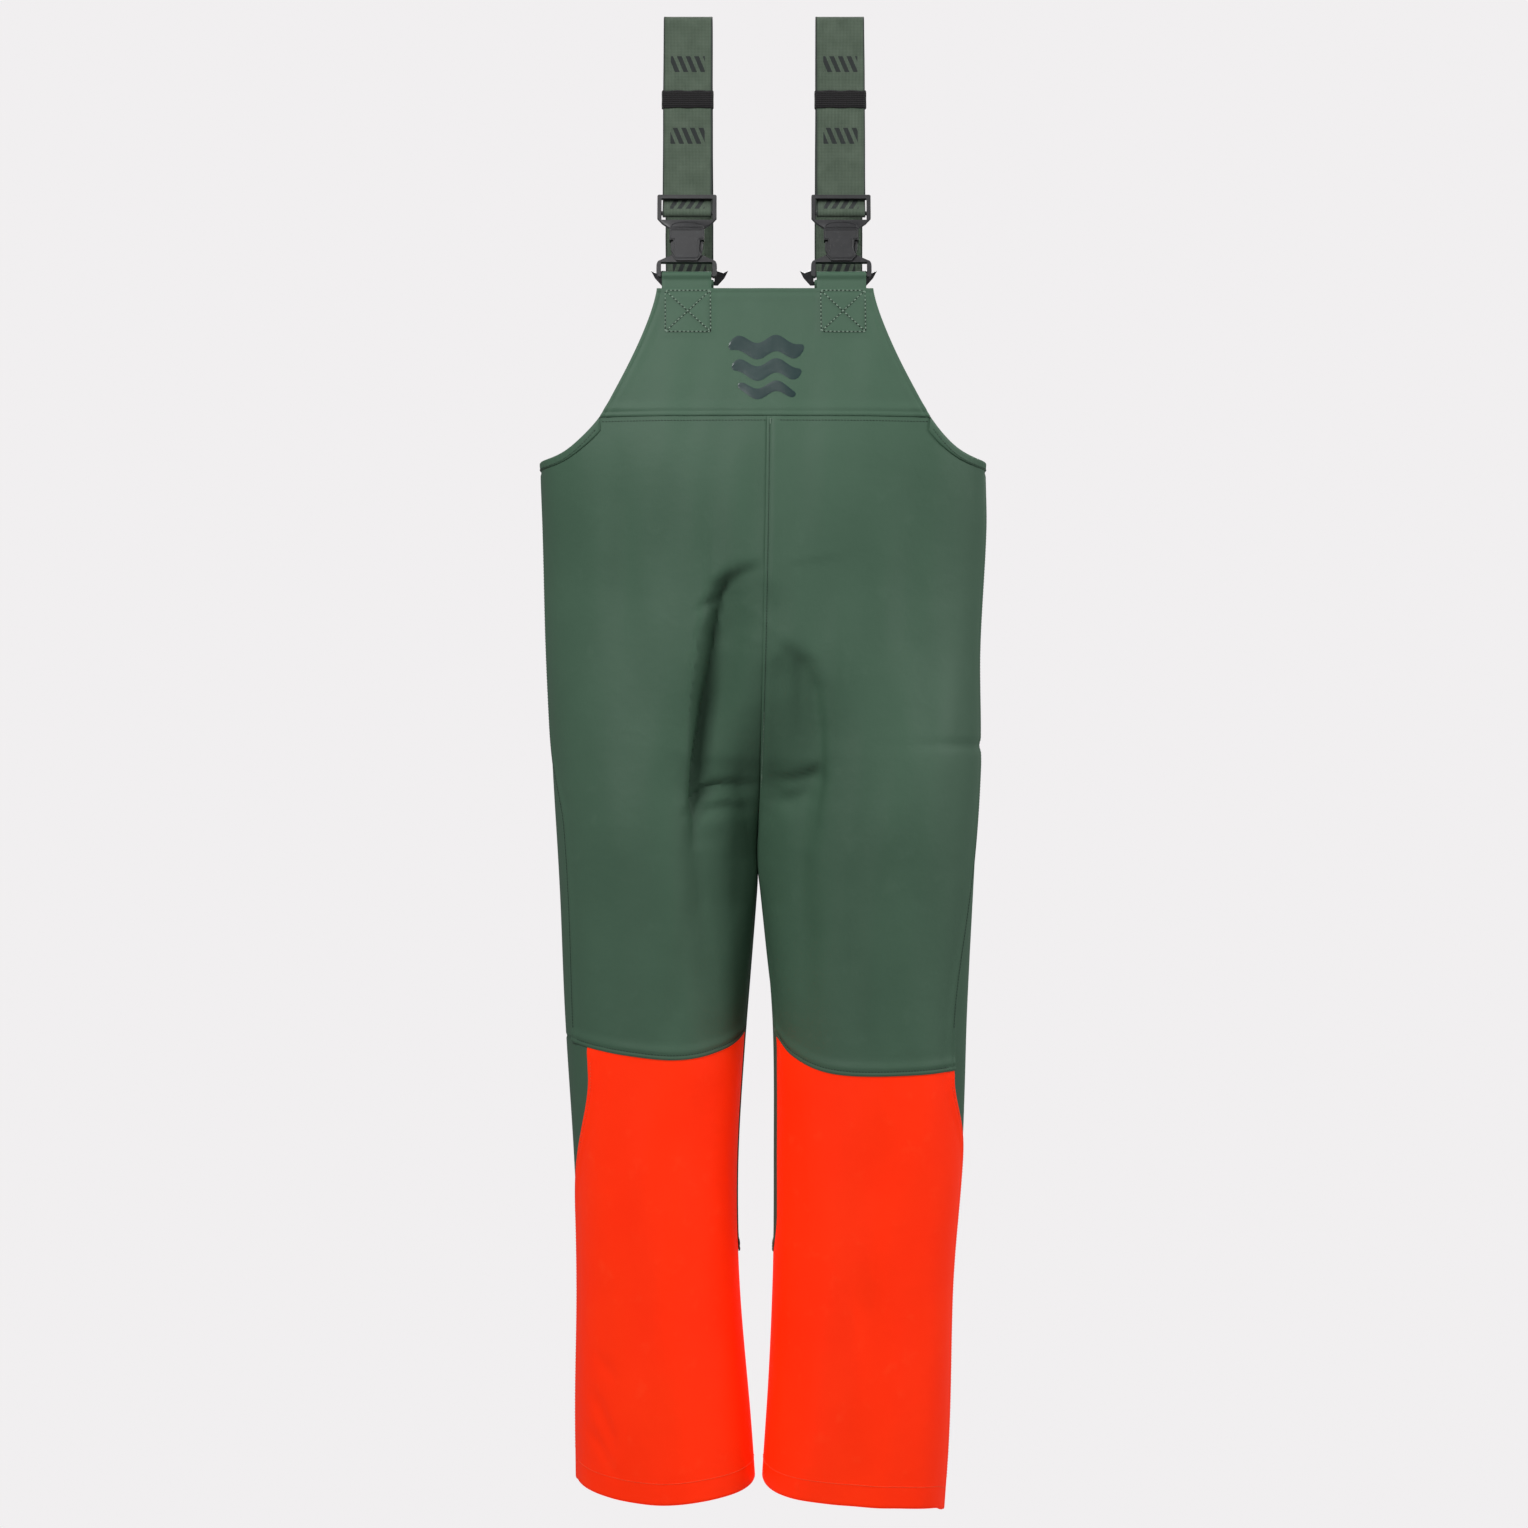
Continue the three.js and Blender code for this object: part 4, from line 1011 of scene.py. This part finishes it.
def strip(name, path, x, width, thickness, material, along_from=0.0, selvedge=0.15, wander=0.1, seed=1):
    """Webbing or folded cloth along a path of garment (y, z) points, with rounded edges."""
    ahead = np.gradient(path, axis=0)
    ahead /= np.linalg.norm(ahead, axis=1, keepdims=True)
    normal = np.stack([-ahead[:, 1], ahead[:, 0]], 1)
    run = run_along(path) + along_from
    half = width / 2
    spots = np.linspace(-half + 0.5, half - 0.5, 15)
    rim = thickness / 2 * (1 + selvedge * hump(half - np.abs(spots), 2.2))
    loop = [*zip(spots, rim), (half, rim[-1] * 0.45), (half, -rim[-1] * 0.45)]
    loop += [*zip(spots[::-1], -rim[::-1]), (-half, -rim[0] * 0.45), (-half, rim[0] * 0.45)]
    drift = wander * (np.sin(run / 31 + seed) + 0.5 * np.sin(run / 13 + 2 * seed))
    rings = np.array([
        [(x + u + d, y + n[0] * t, z + n[1] * t) for u, t in loop]
        for (y, z), n, d in zip(path, normal, drift)
    ])
    across = np.array([u + half for u, _ in loop])
    uv = np.stack(np.broadcast_arrays(across[None, :], run[:, None]), -1)
    return make_piece(name, swept(rings, uv=uv), material, sharp=60)


def make_webbing(hand, side, seed):
    """One brace: the run under the keeper, the length over the rail, and the free end."""
    x = side * BRACE_X
    front, rear = partial(line_on_brace, 1), partial(line_on_brace, -1)
    path = path_of(front([(RUN_Y, LADDER_TOP - 2), (RUN_Y, JOIN)]))
    lower = strip(f"{hand}_front_webbing", path, x, WEBBING_W, WEBBING_T, WEBBING, LADDER_TOP - 2, seed=seed)
    start = Vector(to_row([x, *on_brace(1, RUN_Y, FIXED_RUN)]))
    end = Vector(to_row([x, *on_brace(1, RUN_Y, LADDER_TOP)]))
    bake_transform(lower)
    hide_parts(f"{hand}_webbing_lower_run")

    fold = math.degrees(math.atan(LEAN))
    sway_top, rear_end = REAR_WEBBING_BAR + 9, REAR_WEBBING_BAR + 41
    end_y = RUN_Y - WEBBING_T - GAP
    path = path_of(
        front([(RUN_Y, JOIN), (RUN_Y, FOLD_UP)]),
        arc(0, RAIL, FOLD_R, 180 - fold, fold, 30),
        rear([(RUN_Y, sway_top)]),
        rear(sway(RUN_Y, sway_top, WRAP_R, REAR_WEBBING_BAR)),
        rear(arc(0, REAR_WEBBING_BAR, WRAP_R, 0, -180)),
        rear(sway(-WRAP_R, REAR_WEBBING_BAR, end_y, sway_top)),
        rear([(end_y, rear_end)]),
    )
    drop = strip(f"{hand}_rear_webbing", path, x, WEBBING_W, WEBBING_T, WEBBING, JOIN, seed=seed)
    fit(drop, "garment", f"{hand}_brace_webbing")

    path = path_of(
        front([(RUN_Y, LADDER_TOP - 1), (RUN_Y, LADDER_WINDOW_TOP - 0.6)]),
        front(sway(RUN_Y, LADDER_WINDOW_TOP - 0.6, -WRAP_R, LADDER_BAR, 14)),
        front(arc(0, LADDER_BAR, WRAP_R, 180, 360)),
        front(sway(WRAP_R, LADDER_BAR, TAIL_Y, LADDER_WINDOW_TOP - 2)),
        front([(TAIL_Y, LADDER_WINDOW_TOP - 2), (TAIL_Y, TAIL_END)]),
    )
    tail = strip(
        f"{hand}_webbing_end", path, x, WEBBING_W - 0.6, WEBBING_T, WEBBING, 79.5, wander=0.05, seed=seed + 1,
    )
    fit(tail, f"{hand}_plug", f"{hand}_webbing_tail")


def make_tab(hand, side, face):
    """A loop of coated cloth round a bar, sewn down with both ends together."""
    place = "front" if face > 0 else "rear"
    height, raised = (FRONT_TAB_H, 0) if face > 0 else (REAR_TAB_H, (YOKE_TOP - BIB_TOP) / COS)
    loop_r = BAR_R + GAP + TAB_T / 2
    bar = height - loop_r - TAB_T / 2
    leg = (TAB_T + GAP) / 2
    legs_top = bar - 1.8 * loop_r
    local = np.concatenate([
        [(-leg, TAB_FOOT), (-leg, legs_top)],
        sway(-leg, legs_top, -loop_r, bar),
        arc(0, bar, loop_r, 180, 0),
        sway(loop_r, bar, leg, legs_top),
        [(leg, legs_top), (leg, TAB_FOOT)],
    ])
    path = path_of(line_on_brace(face, local + (0, raised)))
    tab = strip(f"{hand}_{place}_strap_tab", path, side * BRACE_X, WEBBING_W, TAB_T, GREEN, selvedge=0)
    fit(tab, "garment", f"{hand}_{place}_tab")


def make_keeper(hand, side):
    """A band of elastic sewn into a ring round both layers of webbing."""
    room = GAP + 0.6
    half, near, far = WEBBING_W / 2 + room, RUN_Y - WEBBING_T / 2 - room, TAIL_Y + WEBBING_T / 2 + room
    corner = 1.6
    loop = []
    for cx, cy, start in ((half, far, 0), (-half, far, 90), (-half, near, 180), (half, near, 270)):
        middle_x = cx - math.copysign(corner, cx)
        middle_y = cy + (corner if cy == near else -corner)
        for angle in np.radians(np.linspace(start, start + 90, 6)):
            nx, ny = math.cos(angle), math.sin(angle)
            loop.append((middle_x + corner * nx, middle_y + corner * ny, nx, ny))
    dense = []
    for a, b in zip(loop, loop[1:] + loop[:1]):
        steps = max(1, round(math.dist(a[:2], b[:2]) / 3))
        dense += [lerp(np.array(a), np.array(b), t) for t in np.arange(steps) / steps]
    low, high, wall = KEEPER_FOOT, KEEPER_FOOT + KEEPER_H, 0.55
    band = [(wall, low + 0.8), (wall + 0.12, low + 3), (wall, low + 9.5), (wall + 0.12, high - 3),
            (wall, high - 0.8), (0, high), (-wall, high - 0.8), (-wall, low + 0.8), (0, low)]
    rings = []
    for i, (x, y, nx, ny) in enumerate(dense):
        size = math.hypot(nx, ny)
        ripple = 0.35 * math.sin(i * 0.9)
        ring = []
        for out, z in band:
            place = on_brace(1, y + ny / size * out, z + ripple * (z < low + 3 or z > high - 3))
            ring.append((side * BRACE_X + x + nx / size * out, *place))
        rings.append(ring)
    uv = np.array([[(3.0 * i, z) for _, z in band] for i in range(len(dense))])
    shape = swept(np.array(rings), closed=True, uv=uv)
    keeper = make_piece(f"{hand}_elastic_keeper", shape, ELASTIC, sharp=60)
    fit(keeper, f"{hand}_keeper", f"{hand}_keeper")


# ---- buckles
def moulded_copy(node, name, body, rounding):
    """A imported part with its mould's rounded edges."""
    corner = math.radians(38)
    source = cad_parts[node]
    mesh = source.data.copy()
    mesh.name = name
    build = bmesh.new()
    build.from_mesh(mesh)
    bmesh.ops.remove_doubles(build, verts=build.verts, dist=2e-6)
    bmesh.ops.dissolve_limit(build, angle_limit=math.radians(2), verts=build.verts, edges=build.edges)
    build.to_mesh(mesh)
    build.free()
    mesh.materials.clear()
    mesh.materials.append(PLASTIC)
    piece = add_object(name, mesh)
    bevel = piece.modifiers.new("rounding", "BEVEL")
    bevel.width = rounding / 1000
    bevel.segments = 3
    bevel.limit_method = "ANGLE"
    bevel.angle_limit = corner
    bevel.use_clamp_overlap = True
    mesh.shade_smooth()
    mesh.set_sharp_from_angle(angle=corner)
    fit(piece, body, node)


def moulded_rim(name, x, outline, body):
    """A raised line moulded round the front of a buckle's half, given by its right half from the top down."""
    right = np.array(outline, float)
    line = np.concatenate([right, right[::-1] * (-1, 1)])
    ahead = np.roll(line, -1, 0) - np.roll(line, 1, 0)
    ahead /= np.linalg.norm(ahead, axis=1, keepdims=True)
    turns = [(RIM_R * math.cos(a), RIM_R * math.sin(a)) for a in np.arange(10) * np.pi / 5]
    rings = np.array([
        [(x + across - step_z * u, *on_brace(1, 0.15 - SOCKET_FACE - v, z + step_x * u)) for u, v in turns]
        for (across, z), (step_x, step_z) in zip(line, ahead)
    ])
    fit(make_piece(name, swept(rings, closed=True), PLASTIC, sharp=80), body)


def make_buckle(hand, side):
    x, plug = side * BRACE_X, f"{hand}_plug"
    dome = [(15.8 * math.sin(a), 64.6 + 4.6 * math.cos(a)) for a in np.linspace(0.04, 1.57, 12)]
    moulded_rim(f"{hand}_plug_rim", x, [*dome, (15.6, 63.8), (0.5, 63.8)], plug)
    waist = [(0.5, 60.9), (15.4, 60.9), (16.2, 60.2), (16.2, 52.2), (15.6, 51.6), (12.2, 51.4), (11.4, 50.4),
             (11.2, 43), (11.7, 39.5), (13.4, 36.1), (13.5, 35.2), (10.4, 31), (0.5, 31)]
    moulded_rim(f"{hand}_socket_rim", x, waist, "garment")
    moulded_copy(f"{hand}_buckle_socket", f"{hand}_moulded_socket", "garment", 0.55)
    moulded_copy(f"{hand}_buckle_plug", f"{hand}_moulded_plug", plug, 0.55)
    for prong in ("outer_prong", "inner_prong"):
        moulded_copy(f"{hand}_{prong}", f"{hand}_moulded_{prong}", f"{hand}_{prong}", 0.4)
    moulded_copy(f"{hand}_rear_ring", f"{hand}_moulded_rear_ring", "garment", 0.55)


# ---- studio
def make_studio():
    """A pale floor that sweeps up all round, soft lamps and even light from the room."""
    ring = 96
    turns = np.linspace(0, 2 * np.pi, ring, endpoint=False)
    curve = [(0.01, -1.95), (3, -1.95), (6, -1.95), (8, -1.7), (9.4, -0.9), (10, 0.6), (10, 5), (8, 9),
             (3, 10.5), (0.01, 10.8)]
    rings = [[(r * math.cos(t), r * math.sin(t), z) for t in turns] for r, z in curve]
    points, faces, _ = swept(np.array(rings))
    mesh = bpy.data.meshes.new("studio_floor")
    mesh.from_pydata(points.tolist(), [], faces)
    mesh.shade_smooth()
    finish = Finish("studio_paper")
    finish.set(Base_Color=(0.0, 0.0, 0.0, 1), Roughness=1.0, Specular_IOR_Level=0.0,
               Emission_Color=(0.879, 0.863, 0.871, 1), Emission_Strength=1.0)
    mesh.materials.append(finish.material)
    floor = add_object("studio_floor", mesh)
    floor.visible_diffuse = floor.visible_glossy = floor.visible_shadow = False

    world = bpy.data.worlds.new("studio")
    world.use_nodes = True
    background = world.node_tree.nodes["Background"]
    background.inputs["Color"].default_value = (0.98, 0.99, 1.0, 1)
    background.inputs["Strength"].default_value = 0.24
    bpy.context.scene.world = world
    bpy.context.scene.view_settings.view_transform = "Standard"

    lamp("key", (-1.4, -2.6, 1.3), 1.1, 93)
    lamp("fill", (3.2, -0.8, 0.8), 1.4, 70)
    lamp("rear", (0.6, 2.6, 1.3), 1.8, 80)


def lamp(name, place, size, power):
    data = bpy.data.lights.new(name, "AREA")
    data.size = size
    data.energy = power
    light = add_object(name, data)
    light.location = place
    light.rotation_euler = (Vector((0, 0, -0.75)) - Vector(place)).to_track_quat("-Z", "Y").to_euler()


# ---- assembly
for hand, side in SIDES:
    for face in (1, -1):
        make_tab(hand, side, face)
make_chest()
for hand, side in SIDES:
    make_body(hand, side)
    make_hem_band(hand, side)
    make_binding(hand, side)
    make_webbing(hand, side, 1 if side > 0 else 4)
    make_keeper(hand, side)
    make_buckle(hand, side)
make_stitching()
make_print()
make_studio()
